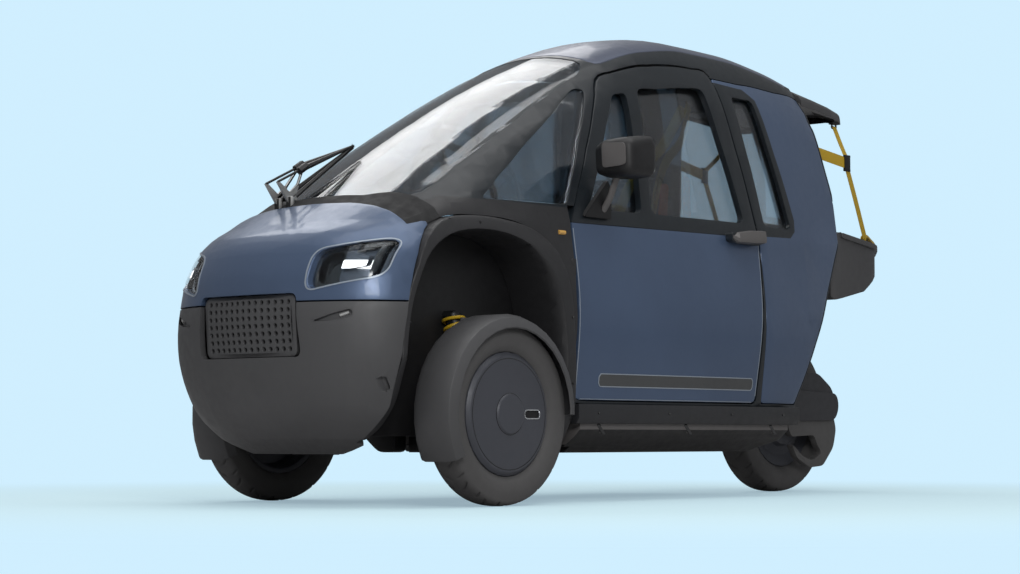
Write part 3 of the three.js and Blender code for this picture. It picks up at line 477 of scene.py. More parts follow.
# %% [markdown]
# Moulded panels have no knife edges, and a rounded edge catches a thin line of light. Modifiers could round
# and smooth each panel, but the shared field has to move the cut-up mesh as well, so all of it is dressed on
# the mesh: merge the loose triangles, round the sharp edges, cut the flat faces so that they can bend, and
# move them.

# %% tools for a mesh
MERGE = 0.0002
FLAT_ANGLE = math.radians(0.8)
EDGE_ANGLE = math.radians(30)
EDGE_PROFILE = 0.7                   # rounder than a chamfer, fuller than a quarter circle
SHARP, PANEL_SHARP = 32, 34          # degrees from which an edge stays sharp, on trim and on panels


def finish_mesh(bm, name, mats, angle=SHARP):
    """An object from a built mesh, smooth but for edges sharper than the angle."""
    bmesh.ops.recalc_face_normals(bm, faces=bm.faces)
    me = bpy.data.meshes.new(name)
    bm.to_mesh(me)
    bm.free()
    for m in mats:
        me.materials.append(m)
    me.shade_smooth()
    me.set_sharp_from_angle(angle=math.radians(angle))
    return place(name, me)


def node_bmesh(node):
    """A copy of a frame node's mesh, with its loose triangles merged into flat faces."""
    bm = bmesh.new()
    bm.from_mesh(nodes[node].data)
    bmesh.ops.remove_doubles(bm, verts=bm.verts, dist=MERGE)
    bmesh.ops.dissolve_degenerate(bm, edges=bm.edges, dist=MERGE / 2)
    bmesh.ops.dissolve_limit(bm, verts=bm.verts, edges=bm.edges, angle_limit=FLAT_ANGLE)
    return bm


def round_edges(bm, width):
    """Bevels the edges that two faces meet in sharply."""
    sharp = [e for e in bm.edges if len(e.link_faces) == 2 and e.calc_face_angle(0) > EDGE_ANGLE]
    if sharp and width:
        bmesh.ops.bevel(bm, geom=sharp, offset=width, segments=2, profile=EDGE_PROFILE, affect="EDGES",
                        clamp_overlap=False, miter_outer="ARC")


def slice_by(bm, co, no):
    """Cuts the faces that a plane crosses, and leaves both sides."""
    bmesh.ops.bisect_plane(bm, geom=bm.verts[:] + bm.edges[:] + bm.faces[:], dist=1e-6, plane_co=co,
                           plane_no=no)


def slice_grid(bm, pitch):
    """Cuts across x, y and z at every multiple of their pitch. A pitch of 0 makes no cuts."""
    for axis, step in enumerate(pitch):
        if step:
            low, high = min(v.co[axis] for v in bm.verts), max(v.co[axis] for v in bm.verts)
            normal = [0, 0, 0]
            normal[axis] = 1
            for k in range(math.ceil(low / step), math.floor(high / step) + 1):
                slice_by(bm, [k * step * c for c in normal], normal)


def fit_on(ob, node, replaces=()):
    """Lets a piece ride on a frame node's body, and stand for the nodes in replaces."""
    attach(ob, body_of[node])
    if replaces:
        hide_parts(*replaces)


print("mesh tools ready")

# %% [markdown]
# A large flat face can't bend, so panels are cut where they curve: closely along the arch and the lamps,
# and wide apart on the roof and glass.

# %% dressing a panel
GRID = {
    # node without its side: fields that smooth it, and the pitch of its cuts along x, y and z
    "roof_panel": ([cabin_move], (0.04, 0.04, 0)),
    "windscreen": ([cabin_move], (0.05, 0.04, 0)),
    "cabin_frame": ([cabin_move, arch_move], (0.04, 0.05, 0.04)),
    "cowl": ([cabin_move], (0.02, 0.02, 0.02)),
    "rear_quarter": ([cabin_move], (0.05, 0, 0.04)),
    "rear_quarter_glass": ([cabin_move], (0.05, 0, 0.04)),
    "door": ([cabin_move], (0.06, 0, 0.04)),
    "door_frame": ([cabin_move], (0.04, 0, 0.04)),
    "door_glass": ([cabin_move], (0.05, 0, 0.04)),
    "quarter_glass": ([cabin_move], (0.05, 0, 0.04)),
    "nose_panel": ([nose_move, arch_move], (0.03, 0.03, 0.02)),
    "bumper": ([nose_move, arch_move], (0, 0.03, 0.024)),
    "headlamp_lens": ([nose_move], (0, 0.02, 0.02)),
    "headlamp": ([nose_move], (0, 0.02, 0.02)),
    "fender": ([arch_move], (0.022, 0, 0.022)),
}


def dress(node, width, mats, paint=None, cuts=()):
    """A finer copy of a frame node. Planes (point, normal) in cuts give the paint an edge to follow, and
    paint(face centre, normal) picks a material by number."""
    bm = node_bmesh(node)
    round_edges(bm, width)
    for co, no in cuts:
        slice_by(bm, co, no)
    fields, pitch = GRID.get(node.replace("_left", "").replace("_right", ""), ((), (0, 0, 0)))
    slice_grid(bm, pitch)
    if paint:
        for f in bm.faces:
            f.material_index = paint(f.calc_center_median(), f.normal)
    if fields:
        bm.verts.ensure_lookup_table()
        p = np.array([v.co[:] for v in bm.verts])
        for v, co in zip(bm.verts, p + sum(field(p) for field in fields)):
            v.co = co
    ob = finish_mesh(bm, node + "_finished", [FINISHES[m] for m in mats], PANEL_SHARP)
    fit_on(ob, node, [node])
    return ob


print("panels to smooth", len(GRID))

# %% [markdown]
# The headlamp is a dark reflector in a black surround, with a lit bar across it. A real lamp is several
# parts under one cover, and here one mesh shows them: it is cut along their borders, and each face takes
# its finish by where it lies.

# %% lamp finish
LIGHT_LOW, LIGHT_HIGH = 0.669, 0.693       # the lit strip on the light bar
LAMP_CUTS = [((0, 0, z), (0, 0, 1)) for z in (LIGHT_LOW, LIGHT_HIGH)]


def lamp_paint(c, n):
    """Reflector 0, black 1, light bar 2."""
    y = abs(c.y)
    upper_rim = 0.318 < y < 0.374 and c.z > 0.7135 + 0.25 * (y - 0.318)
    if 0.3725 < y < 0.3835 or upper_rim:
        return 1
    if 0.3105 < y < 0.3640 and LIGHT_LOW < c.z < LIGHT_HIGH and n.x > 0.35:
        return 2
    return 1 if y < 0.303 else 0


print("lamp finishes 3")

# %% [markdown]
# Five more pieces carry two or three finishes. The wiper has a cast bracket on a rubber bush. The panel
# behind the door has a dark field round its window. The cabin frame is satin outside and lined inside, with
# the dark field above the front wheel. The sill has a dark strip under the door, and the lid a pale lining.

# %% wiper, window field, frame, sill and lid finishes
# the outline of the dark field (x, z): it turns only one way, so planes along its edges bound it
FIELD = [(-1.392, 0.873), (-1.298, 1.394), (-1.470, 1.388), (-1.534, 1.352), (-1.652, 0.945),
         (-1.646, 0.905), (-1.610, 0.880)]
FIELD_EDGES = list(zip(FIELD, FIELD[1:] + FIELD[:1]))
FIELD_CUTS = [(AT(a[0], 0, a[1]), (b[1] - a[1], 0, a[0] - b[0])) for a, b in FIELD_EDGES]
WING_TOP = 0.897
STRIP_TOP, STRIP_FOOT = 0.2398, 0.176
level = lambda *heights: [((0, 0, z), (0, 0, 1)) for z in heights]


def wiper_paint(c, n):
    """Black 0, cast bracket 1, rubber bush 2."""
    over = c.z - (0.80 + (AXLE_F + 0.400 - c.x) * 0.625)      # height over the cowl's slope
    if c.x < AXLE_F + 0.222 or over > 0.074:
        return 0
    return 1 if over > 0.027 or abs(n.y) > 0.9 else 2


def field_paint(c, n):
    """Painted panel 0, dark field 1."""
    x = c.x - AXLE_F
    inside = all((b[1] - a[1]) * (x - a[0]) - (b[0] - a[0]) * (c.z - a[1]) < 1e-6 for a, b in FIELD_EDGES)
    return 1 if inside else 0


def frame_paint(c, n):
    """Satin outside 0, grey liner where a face looks into the cabin 1, dark fender field 2."""
    x = c.x - AXLE_F
    if x > -0.405 and abs(c.y) > 0.33 and c.z < WING_TOP:
        return 2
    inward = n.y * (1 if c.y < 0 else -1) > 0.25 or n.z < -0.55
    return 1 if inward and c.z > 0.35 and abs(c.y) < 0.425 and x < -0.42 else 0


def sill_paint(c, n):
    """Grey lower panel 0, dark strip under the door 1, black underside 2."""
    if c.z > STRIP_TOP:
        return 1
    return 2 if n.z < -0.45 or c.z < STRIP_FOOT else 0


def lid_paint(c, n):
    """Dark rim and top 0, pale lining under the lid 1."""
    return 1 if n.z < -0.5 and abs(c.y) < 0.240 and AXLE_R - 0.125 < c.x < AXLE_R + 0.175 else 0


print("edges of the dark field", len(FIELD_EDGES))

# %% [markdown]
# Every panel that shows is dressed, and the dressed piece stands for the plain node. Edges are rounded by
# one to four millimetres: more on thick mouldings, and not at all on glass, where a bevel would show as a
# bright rim.

# %% dressed panels
PAINTED = [
    # nodes, materials, edge width, then what more dress needs
    ("roof_panel", ["roof"], 0.003), ("nose_panel", ["blue"], 0.003), ("bumper", ["dark"], 0.003),
    ("cowl", ["cowl"], 0.001), ("floor_tub", ["black"], 0.002), ("dashboard", ["black"], 0.004),
    ("steering_wheel", ["black"], 0.002), ("wiper", ["black", "alu", "rubber"], 0.001, wiper_paint),
    ("hatch", ["dark", "pale"], 0.003, lid_paint), ("tailgate", ["dark"], 0.003),
    ("swing_arm", ["grey"], 0.003), ("rear_hugger", ["black"], 0.001), ("rear_shock", ["steel"], 0.001),
    ("cabin_frame", ["frame", "liner", "wing"], 0.0015, frame_paint, level(WING_TOP)),
    ("rear_wheel", ["slate"], 0.002), ("windscreen", ["glass"], 0.0),
]
PAINTED_PAIRS = [
    ("door", ["blue"], 0.003), ("rear_quarter", ["blue", "frame"], 0.003, field_paint, FIELD_CUTS),
    ("door_frame", ["frame"], 0.0015), ("headlamp", ["bowl", "gloss", "led"], 0.001, lamp_paint, LAMP_CUTS),
    ("fender", ["wing"], 0.004),
    ("battery_box", ["trim_grey", "strip", "black"], 0.003, sill_paint, level(STRIP_TOP, STRIP_FOOT)),
    ("knuckle", ["dark"], 0.001), ("suspension", ["steel"], 0.001), ("front_wheel", ["slate"], 0.002),
    ("door_glass", ["glass"], 0.0), ("quarter_glass", ["glass"], 0.0), ("rear_quarter_glass", ["glass"], 0.0),
    ("headlamp_lens", ["lens"], 0.0),
]
for name, *how in PAINTED_PAIRS:
    PAINTED += [(f"{name}_{side}", *how) for side, _ in SIDES]
dressed = {node: dress(node, width, mats, *more) for node, mats, width, *more in PAINTED}
print("panels dressed", len(dressed))

# %% [markdown]
# The rest is built from a few kinds of shape: a skin over rings, a tube or a band along a path, a flat
# outline pushed out into a plate, and a block. Each adds to one mesh, so that a piece can hold several of
# them.

# %% plates, blocks and rings


def link_loops(bm, loops, caps=True):
    """Faces over a list of rings of points, of equal length. They end in caps, or close on the first ring."""
    rings = [[bm.verts.new(p) for p in ring] for ring in loops]
    n = len(rings[0])
    for a, b in zip(rings, rings[1:] + ([] if caps else rings[:1])):
        for i in range(n):
            bm.faces.new((a[i], a[(i + 1) % n], b[(i + 1) % n], b[i]))
    if caps:
        bm.faces.new(rings[0][::-1])
        bm.faces.new(rings[-1])


def prism(bm, outline, to_world, depth, bevel=0.0):
    """Outline in a plane, pushed out by depth. to_world maps (u, v, w) to a point."""
    a = [bm.verts.new(to_world(u, v, 0)) for u, v in outline]
    b = [bm.verts.new(to_world(u, v, depth)) for u, v in outline]
    n = len(outline)
    faces = [bm.faces.new(a[::-1]), bm.faces.new(b)]
    for i in range(n):
        faces.append(bm.faces.new((a[i], a[(i + 1) % n], b[(i + 1) % n], b[i])))
    if bevel:
        bmesh.ops.bevel(bm, geom=list({e for f in faces for e in f.edges}), offset=bevel, segments=2,
                        affect="EDGES", profile=EDGE_PROFILE)


def block(bm, lo, hi, bevel):
    """A box between two corners, with rounded edges."""
    lo, hi = Vector(lo), Vector(hi)
    outline = [(lo.x, lo.y), (hi.x, lo.y), (hi.x, hi.y), (lo.x, hi.y)]
    prism(bm, outline, lambda u, v, w: Vector((u, v, lo.z + w)), hi.z - lo.z, bevel)


def rounded(pts, r, seg=5):
    """Closed polygon with arc-like corners."""
    out = []
    n = len(pts)
    for i in range(n):
        a, b, c = (Vector(pts[(i + k) % n]) for k in (-1, 0, 1))
        back = min(r, (a - b).length / 2.02, (c - b).length / 2.02)
        p, q = b + (a - b).normalized() * back, b + (c - b).normalized() * back
        out += [tuple(bent(k / seg, p, b, q)) for k in range(seg + 1)]
    return out


def built(name, build, mat, angle=SHARP):
    """An object whose mesh is filled by build(bm)."""
    bm = bmesh.new()
    build(bm)
    bmesh.ops.remove_doubles(bm, verts=bm.verts, dist=1e-6)
    return finish_mesh(bm, name, [FINISHES[mat]], angle)


def make(name, build, mat, node, angle=SHARP, replaces=()):
    """A built piece on the body of a frame node."""
    fit_on(built(name, build, mat, angle), node, replaces)


print("plates, blocks and rings ready")

# %% [markdown]
# A tube needs a frame at each point of its path that says where its side lies. Turning the last side by as
# little as the path allows keeps a tube or a webbing from twisting.

# %% tubes and webbing


def path_frames(pts, up):
    """Each point of a path with two directions square to it, carried on without a twist."""
    pts = [Vector(p) for p in pts]
    out = []
    side = Vector(up)
    for i, p in enumerate(pts):
        t = (pts[min(i + 1, len(pts) - 1)] - pts[max(i - 1, 0)]).normalized()
        s = side - t * side.dot(t)
        if s.length < 1e-4:
            s = t.orthogonal()
        side = s.normalized()
        out.append((p, side, t.cross(side)))
    return out


def tube(bm, pts, r, seg=10, up=(0, 0, 1), flat=1.0, closed=False):
    """Round or oval tube along points."""
    turns = [2 * math.pi * k / seg for k in range(seg)]
    link_loops(bm, [[p + s * r * math.cos(a) + b * r * flat * math.sin(a) for a in turns]
                    for p, s, b in path_frames(pts, up)], caps=not closed)


def web(bm, pts, width, thick, across=(1, 0, 0)):
    """Flat webbing along points, with a slight crown across its width."""
    section = ((-0.5, -0.35), (-0.5, 0.35), (-0.25, 0.5), (0.25, 0.5), (0.5, 0.35), (0.5, -0.35),
               (0.25, -0.5), (-0.25, -0.5))
    link_loops(bm, [[p + s * u * width + b * v * thick for u, v in section]
                    for p, s, b in path_frames(pts, across)])


def smooth_path(pts, n=8):
    """A curve through the points (Catmull-Rom), n steps a span."""
    pts = [Vector(p) for p in pts]
    pts = [2 * pts[0] - pts[1]] + pts + [2 * pts[-1] - pts[-2]]
    out = []
    for i in range(1, len(pts) - 2):
        for k in range(n):
            t = k / n
            a, b, c, d = pts[i - 1:i + 3]
            out.append(0.5 * ((2 * b) + (c - a) * t + (2 * a - 5 * b + 4 * c - d) * t * t
                              + (3 * b - a - 3 * c + d) * t ** 3))
    return out + [pts[-2]]


print("tubes and webbing ready")

# %% [markdown]
# Trim lies on curved panels, and a line that is only drawn near them would float or sink. A ray from
# outside finds the panel's surface and its normal under each point, and a thin band is skinned over the
# hits.

# %% lines on a surface


def skin_of(*names):
    """A search tree over dressed pieces."""
    bm = bmesh.new()
    for n in names:
        bm.from_mesh(dressed[n].data)
    tree = BVHTree.FromBMesh(bm)
    bm.free()
    return tree


def side_hit(tree, x, z, sgn):
    """Point and normal of the outside at (x, z), seen from one side, with x from the front axle."""
    return tree.ray_cast(Vector((AXLE_F + x, sgn * 1.2, z)), Vector((0, -sgn, 0)))[:2]


def side_hits(tree, pts, sgn):
    """A hit for each of the points (x, z)."""
    return [side_hit(tree, x, z, sgn) for x, z in pts]


def ribbon(bm, spots, width, height, closed=False):
    """Thin raised band along surface points with normals."""
    n = len(spots)
    sunk = 0.0008
    rings = []
    for i, (p, nor) in enumerate(spots):
        a = spots[(i - 1) % n if closed else max(i - 1, 0)][0]
        b = spots[(i + 1) % n if closed else min(i + 1, n - 1)][0]
        s = nor.cross((b - a).normalized()).normalized() * width / 2
        rings.append([p - s - nor * sunk, p + s - nor * sunk, p + s + nor * height, p - s + nor * height])
    link_loops(bm, rings, caps=not closed)


print("surface lines ready")

# %% [markdown]
# The tyres are narrow and round, like a scooter's, with curved diagonal grooves. A bump texture would leave
# the outline round, so the grooves are cut: the profile is turned about the axle in fine steps, and each
# point sinks by the depth of the groove there.

# %% tyres
TYRES = [
    # node, middle of the tyre, width, depth from the tread to the rim
    ("front_tyre_left", Vector((AXLE_F, FRONT_Y, R_FRONT)), 0.112, 0.085),
    ("front_tyre_right", Vector((AXLE_F, -FRONT_Y, R_FRONT)), 0.112, 0.085),
    ("rear_tyre", Vector((AXLE_R, 0, R_REAR)), 0.126, 0.092),
]
AROUND, ACROSS = 640, 30             # steps round the tyre and over its crown
GROOVE = 0.0046                      # depth
GROOVE_REACH = 0.032                 # how far down from the tread the grooves run
GROOVES = [
    # number round the tyre, start, lean, inner and outer end across, half width as a share of the pitch
    (18, 0.0, 0.55, 0.08, 0.80, 0.050), (18, 0.5, 0.25, 0.45, 0.92, 0.042),
]


def tyre_profile(r, w, rim):
    """(radius, across) from the inner bead over the crown to the outer bead."""
    wall = [(rim + 0.0004, -0.34 * w), (rim + 0.012, -0.42 * w), (rim + 0.022, -0.452 * w),
            (rim + 0.55 * (r - rim), -0.497 * w)]
    shares = [-1 + 2 * k / ACROSS for k in range(1, ACROSS)]
    crown = [(r - 0.0175 * abs(a) ** 2.3 - 0.012 * abs(a) ** 8, 0.455 * w * math.sin(a * math.pi / 2))
             for a in shares]
    return wall + crown + [(p, -q) for p, q in wall[::-1]]


def groove_depth(turn, across):
    """Share of the full depth: turn in 0..1 round the tyre, across in -1..1."""
    u = abs(across)
    deep = 0.0
    for number, start, lean, lo, hi, half in GROOVES:
        phase = turn * number + start + (0.25 if across > 0 else -0.25) - lean * u ** 1.7
        off = abs((phase % 1.0) - 0.5) * 2
        if lo < u < hi and off < half * 2:
            edge = min(1, (u - lo) / 0.06, (hi - u) / 0.06)
            deep = max(deep, edge * (1 - (off / (half * 2)) ** 4))
    return deep


def tread(bm, middle, w, depth):
    r = middle.z
    profile = tyre_profile(r, w, r - depth)
    rings = []
    for k in range(AROUND):
        a = 2 * math.pi * k / AROUND
        ring = []
        for rad, h in profile:
            if rad > r - GROOVE_REACH:
                rad -= GROOVE * groove_depth(k / AROUND, h / (0.46 * w))
            ring.append(middle + Vector((rad * math.cos(a), h, rad * math.sin(a))))
        rings.append(ring)
    link_loops(bm, rings, caps=False)


for node, middle, width, depth in TYRES:
    make(node + "_tread", lambda bm: tread(bm, middle, width, depth), "tyre", node, 50, [node])
print("tyres", len(TYRES), "grooves each", 2 * sum(g[0] for g in GROOVES))

# %% [markdown]
# The grille is a curved plate with rows of round holes. Cutting the holes out of a plate with a boolean
# would leave long thin triangles that shade badly. Here each hole brings its own square cell, from a square
# ring to a round one, and the cells join into a plate that follows the nose.

# %% grille
COLS, ROWS, PITCH_Y, PITCH_Z, MID_Z = 14, 7, 0.0246, 0.022, 0.513
HALF_Y, HALF_Z = COLS * PITCH_Y / 2, ROWS * PITCH_Z / 2
HOLE, HOLE_LIP, PLATE = 0.0070, 0.0012, 0.014        # radius, rounding of its edge, thickness
PLATE_PROUD = 0.006                  # how far the plate stands in front of the solid one
RING = 16                            # points round a hole
PLATE_CORNERS = [(-0.1855, 0.4245), (0.1855, 0.4245), (0.1855, 0.6015), (-0.1855, 0.6015)]

# a smooth surface x(y, z) through the front faces of the solid plate
front = np.array([p.center[:] for p in nodes["grille"].data.polygons if p.normal.x > 0.6])
terms = lambda y, z: np.array([np.ones_like(y), y ** 2, y ** 4, z, z ** 2, z ** 3, y ** 2 * z]).T
fit, *_ = np.linalg.lstsq(terms(front[:, 1], front[:, 2]), front[:, 0], rcond=None)
grille_x = lambda y, z: float((terms(np.array([y]), np.array([z])) @ fit)[0])


def to_square(c, s):
    """A direction pushed out to the edge of a square with half side 1."""
    reach = max(abs(c), abs(s))
    return c / reach, s / reach


def join_rings(bm, loops, pairs):
    """Faces between rings of vertices, for each pair of their numbers."""
    for a, b in pairs:
        n = len(loops[a])
        for k in range(n):
            bm.faces.new((loops[a][k], loops[a][(k + 1) % n], loops[b][(k + 1) % n], loops[b][k]))


def grille_plate(bm):
    ring = [(math.cos(a), math.sin(a)) for a in (2 * math.pi * k / RING for k in range(RING))]
    square = [to_square(c, s) for c, s in ring]
    put = lambda y, z, d: bm.verts.new((grille_x(y, z) + PLATE_PROUD - d, y, z))
    for i in range(COLS):
        for j in range(ROWS):
            cy, cz = (i + 0.5) * PITCH_Y - HALF_Y, MID_Z + (j + 0.5) * PITCH_Z - HALF_Z
            loops = [[put(cy + c * reach_y, cz + s * reach_z, d) for c, s in shape]
                     for reach_y, reach_z, shape, d in (
                         (PITCH_Y / 2, PITCH_Z / 2, square, PLATE), (PITCH_Y / 2, PITCH_Z / 2, square, 0.0),
                         (HOLE * 1.12, HOLE * 1.12, ring, 0.0), (HOLE, HOLE, ring, HOLE_LIP),
                         (HOLE, HOLE, ring, PLATE))]
            join_rings(bm, loops, ((1, 2), (2, 3), (3, 4), (4, 0)))
    outer = rounded(PLATE_CORNERS, 0.024, 6)
    inner = []
    for y, z in outer:
        a = math.atan2((z - MID_Z) / HALF_Z, y / HALF_Y)
        c, s = to_square(math.cos(a), math.sin(a))
        inner.append((c * HALF_Y, MID_Z + s * HALF_Z))
    rim = [[put(y, z, 0.0020) for y, z in outer],
           [put(y * 0.988, MID_Z + (z - MID_Z) * 0.98, 0.0) for y, z in outer],
           [put(y, z, 0.0) for y, z in inner],
           [put(y, z, PLATE) for y, z in outer],
           [put(y, z, PLATE) for y, z in inner]]
    join_rings(bm, rim, ((0, 1), (1, 2), (3, 0), (4, 3)))


make("grille_plate", grille_plate, "dark", "grille", 40, ["grille"])
print("grille holes", COLS * ROWS)

# %% [markdown]
# Most trim comes in pairs. Mirroring a finished piece would turn it inside out, so each side is built by
# the same function with the sign of its Y. In the names below, a star stands for the side.

# %% one piece for each side


def both_sides(name, build, mat, node, angle=SHARP, replaces=()):
    """Makes a piece for each side with build(bm, sign)."""
    for side, sgn in SIDES:
        make(name.replace("*", side), lambda bm: build(bm, sgn), mat, node.replace("*", side), angle,
             [n.replace("*", side) for n in replaces])


def skins(*names):
    """A search tree for each side, by its sign."""
    return {sgn: skin_of(*(n.replace("*", side) for n in names)) for side, sgn in SIDES}


print("sides", [side for side, _ in SIDES])

# %% [markdown]
# A fine pale line runs round each headlamp, a bright insert ends the slot in the bumper, and a small amber
# lamp sits on the pillar. The line gets a point every few millimetres, because with fewer it would cut
# through the curved nose between them.

# %% lamp edges, slot inserts and side lamps
nose_skin = skin_of("nose_panel", "bumper")
pillar_skin = skin_of("cabin_frame", "fender_left", "fender_right")
LAMP = [(0.226, 0.608), (0.229, 0.722), (0.404, 0.758), (0.410, 0.650)]
LAMP_GAP, EDGE_STEP = 0.0045, 0.008


def front_hit(y, z):
    """Point and normal of the nose at (y, z), seen from the front."""
    return nose_skin.ray_cast(Vector((3, y, z)), Vector((-1, 0, 0)))[:2]


def lamp_edge(bm, sgn):
    outline = rounded(LAMP, 0.030, 7)
    mid = Vector(np.mean(outline, axis=0))
    grown = [Vector(p) + (Vector(p) - mid).normalized() * LAMP_GAP for p in outline]
    dense = []
    for a, b in zip(grown, grown[1:] + grown[:1]):
        steps = max(1, round((b - a).length / EDGE_STEP))
        dense += [a.lerp(b, k / steps) for k in range(steps)]
    hits = [front_hit(sgn * p.x, p.y) for p in dense]
    ribbon(bm, [hit for hit in hits if hit[0] is not None], 0.0040, 0.0016, True)


def slot_insert(bm, sgn):
    proud = Vector((0.001, 0, 0))
    tube(bm, [front_hit(sgn * y, z)[0] + proud for y, z in ((0.322, 0.537), (0.344, 0.5455))], 0.0062, 12)


def side_lamp(bm, sgn):
    proud = Vector((0, sgn * 0.0005, 0))
    tube(bm, [side_hit(pillar_skin, x, 0.818, sgn)[0] + proud for x in (-0.365, -0.337)], 0.0068, 14)


both_sides("lamp_edge_*", lamp_edge, "line", "headlamp_lens_*")
both_sides("slot_insert_*", slot_insert, "alu", "bumper")
both_sides("side_lamp_*", side_lamp, "amber", "fender_*")
print("pairs on the nose and pillars 3")

# %% [markdown]
# A pale reveal follows the cut of the door on three sides. Low on the door lies a grey bar with round ends
# and a pale edge, kept plain here. Both are bands on the door's own skin, so they swing with it.

# %% door lines and bar
door_skin = skins("door_*")
DOOR_LINES = {
    # name: width, then points (x, z) along the inside of the door's cut
    "front": (0.0028, [(-0.4075, z / 1000) for z in range(335, 850, 20)]),
    "rear": (0.0028, [(-1.3605 - 0.0320 * (z - 335) / 530, z / 1000) for z in range(335, 862, 20)]),
    "foot": (0.0018, [(-0.430 - k * 0.0455, 0.3150) for k in range(21)]),
}
BAR_FRONT, BAR_REAR, BAR_Z, BAR_HALF = -0.515, -1.338, 0.3735, 0.0195
BAR_END, BAR_STEPS, BAR_RISE = 0.012, 60, 0.0010


def bar_edges(sgn):
    """Spots along the top and along the foot of the bar, closer together at its round ends."""
    top, low = [], []
    for k in range(BAR_STEPS + 1):
        x = BAR_FRONT + (BAR_REAR - BAR_FRONT) * (0.5 - 0.5 * math.cos(math.pi * k / BAR_STEPS))
        from_end = min(abs(x - BAR_FRONT), abs(x - BAR_REAR))
        h = BAR_HALF * (1 - (1 - min(1, from_end / BAR_END)) ** 2.4 * 0.55)
        top.append(side_hit(door_skin[sgn], x, BAR_Z + h, sgn))
        low.append(side_hit(door_skin[sgn], x, BAR_Z - h, sgn))
    return top, low


def door_bar(bm, sgn):
    link_loops(bm, [[p + m * BAR_RISE, q + n * BAR_RISE, q - n * BAR_RISE, p - m * BAR_RISE]
                    for (p, m), (q, n) in zip(*bar_edges(sgn))])


def bar_edge(bm, sgn):
    top, low = bar_edges(sgn)
    ribbon(bm, top + low[::-1], 0.0030, 0.0016, True)


def door_line(bm, sgn, width, pts):
    ribbon(bm, side_hits(door_skin[sgn], pts, sgn), width, 0.0008)


for name, how in DOOR_LINES.items():
    both_sides(f"door_line_{name}_*", lambda bm, sgn: door_line(bm, sgn, *how), "line", "door_*")
both_sides("door_bar_*", door_bar, "stripe", "door_*")
both_sides("door_bar_edge_*", bar_edge, "line", "door_*")
print("door lines", 2 * len(DOOR_LINES), "bars 2")

# %% [markdown]
# Screws repeat, so one node tree sets a flat head and a small six-sided stud on each point and turns them to
# the normal stored there. Copying a modelled screw by hand would fix its size, and here the size is an input
# of the tree. The heads become a plain mesh before they are used, because the export drops instances.

# %% screws


def screw_tree():
    """Node group: a head and a stud over it on every vertex, along the normal stored on it."""
    g = bpy.data.node_groups.new("screw_heads", "GeometryNodeTree")
    face = g.interface
    face.new_socket("Geometry", in_out="INPUT", socket_type="NodeSocketGeometry")
    for label, value in (("Head Radius", 0.004), ("Head Height", 0.002)):
        face.new_socket(label, in_out="INPUT", socket_type="NodeSocketFloat").default_value = value
    face.new_socket("Material", in_out="INPUT", socket_type="NodeSocketMaterial")
    face.new_socket("Geometry", in_out="OUTPUT", socket_type="NodeSocketGeometry")
    take, give = add(g, "NodeGroupInput"), add(g, "NodeGroupOutput")
    head = add(g, "GeometryNodeMeshCylinder", Vertices=20)
    stud = add(g, "GeometryNodeMeshCone", Vertices=6, Radius_Top=0.0012)
    half = add(g, "ShaderNodeMath", {"operation": "MULTIPLY"})
    half.inputs[1].default_value = 0.5
    lift, raised = add(g, "ShaderNodeCombineXYZ"), add(g, "GeometryNodeTransform")
    both = add(g, "GeometryNodeJoinGeometry")
    out = add(g, "GeometryNodeInputNamedAttribute", {"data_type": "FLOAT_VECTOR"}, Name="out")
    turn = add(g, "FunctionNodeAlignRotationToVector", {"axis": "Z"})
    onto, real = add(g, "GeometryNodeInstanceOnPoints"), add(g, "GeometryNodeRealizeInstances")
    paint = add(g, "GeometryNodeSetMaterial")
    radius, height = take.outputs["Head Radius"], take.outputs["Head Height"]
    for source, target in (
            (radius, head.inputs["Radius"]), (height, head.inputs["Depth"]),
            (radius, half.inputs[0]), (half.outputs[0], stud.inputs["Radius Bottom"]),
            (height, stud.inputs["Depth"]), (height, lift.inputs["Z"]),
            (stud.outputs["Mesh"], raised.inputs["Geometry"]),
            (lift.outputs[0], raised.inputs["Translation"]),
            (head.outputs["Mesh"], both.inputs[0]), (raised.outputs[0], both.inputs[0]),
            (out.outputs["Attribute"], turn.inputs["Vector"]),
            (take.outputs["Geometry"], onto.inputs["Points"]), (both.outputs[0], onto.inputs["Instance"]),
            (turn.outputs[0], onto.inputs["Rotation"]), (onto.outputs[0], real.inputs[0]),
            (real.outputs[0], paint.inputs["Geometry"]), (take.outputs["Material"], paint.inputs["Material"]),
            (paint.outputs[0], give.inputs[0])):
        g.links.new(source, target)
    return g


def baked(ob, name):
    """The evaluated mesh of an object as a plain one. The first object goes."""
    me = bpy.data.meshes.new_from_object(ob.evaluated_get(bpy.context.evaluated_depsgraph_get()))
    out = place(name, me)
    bpy.data.objects.remove(ob)
    return out


SCREWS = screw_tree()
SCREW_SETS = [
    # name, node, head radius and height, then (x, z) of each screw
    ("fender_screws_*", "fender_*", 0.0048, 0.0022,
     [(-0.372, 0.560), (-0.376, 0.360), (0.020, 0.824), (0.338, 0.520)]),
    ("sill_screws_*", "battery_box_*", 0.0044, 0.0020, [(x, 0.272) for x in (-0.50, -0.86, -1.20, -1.50)]),
]


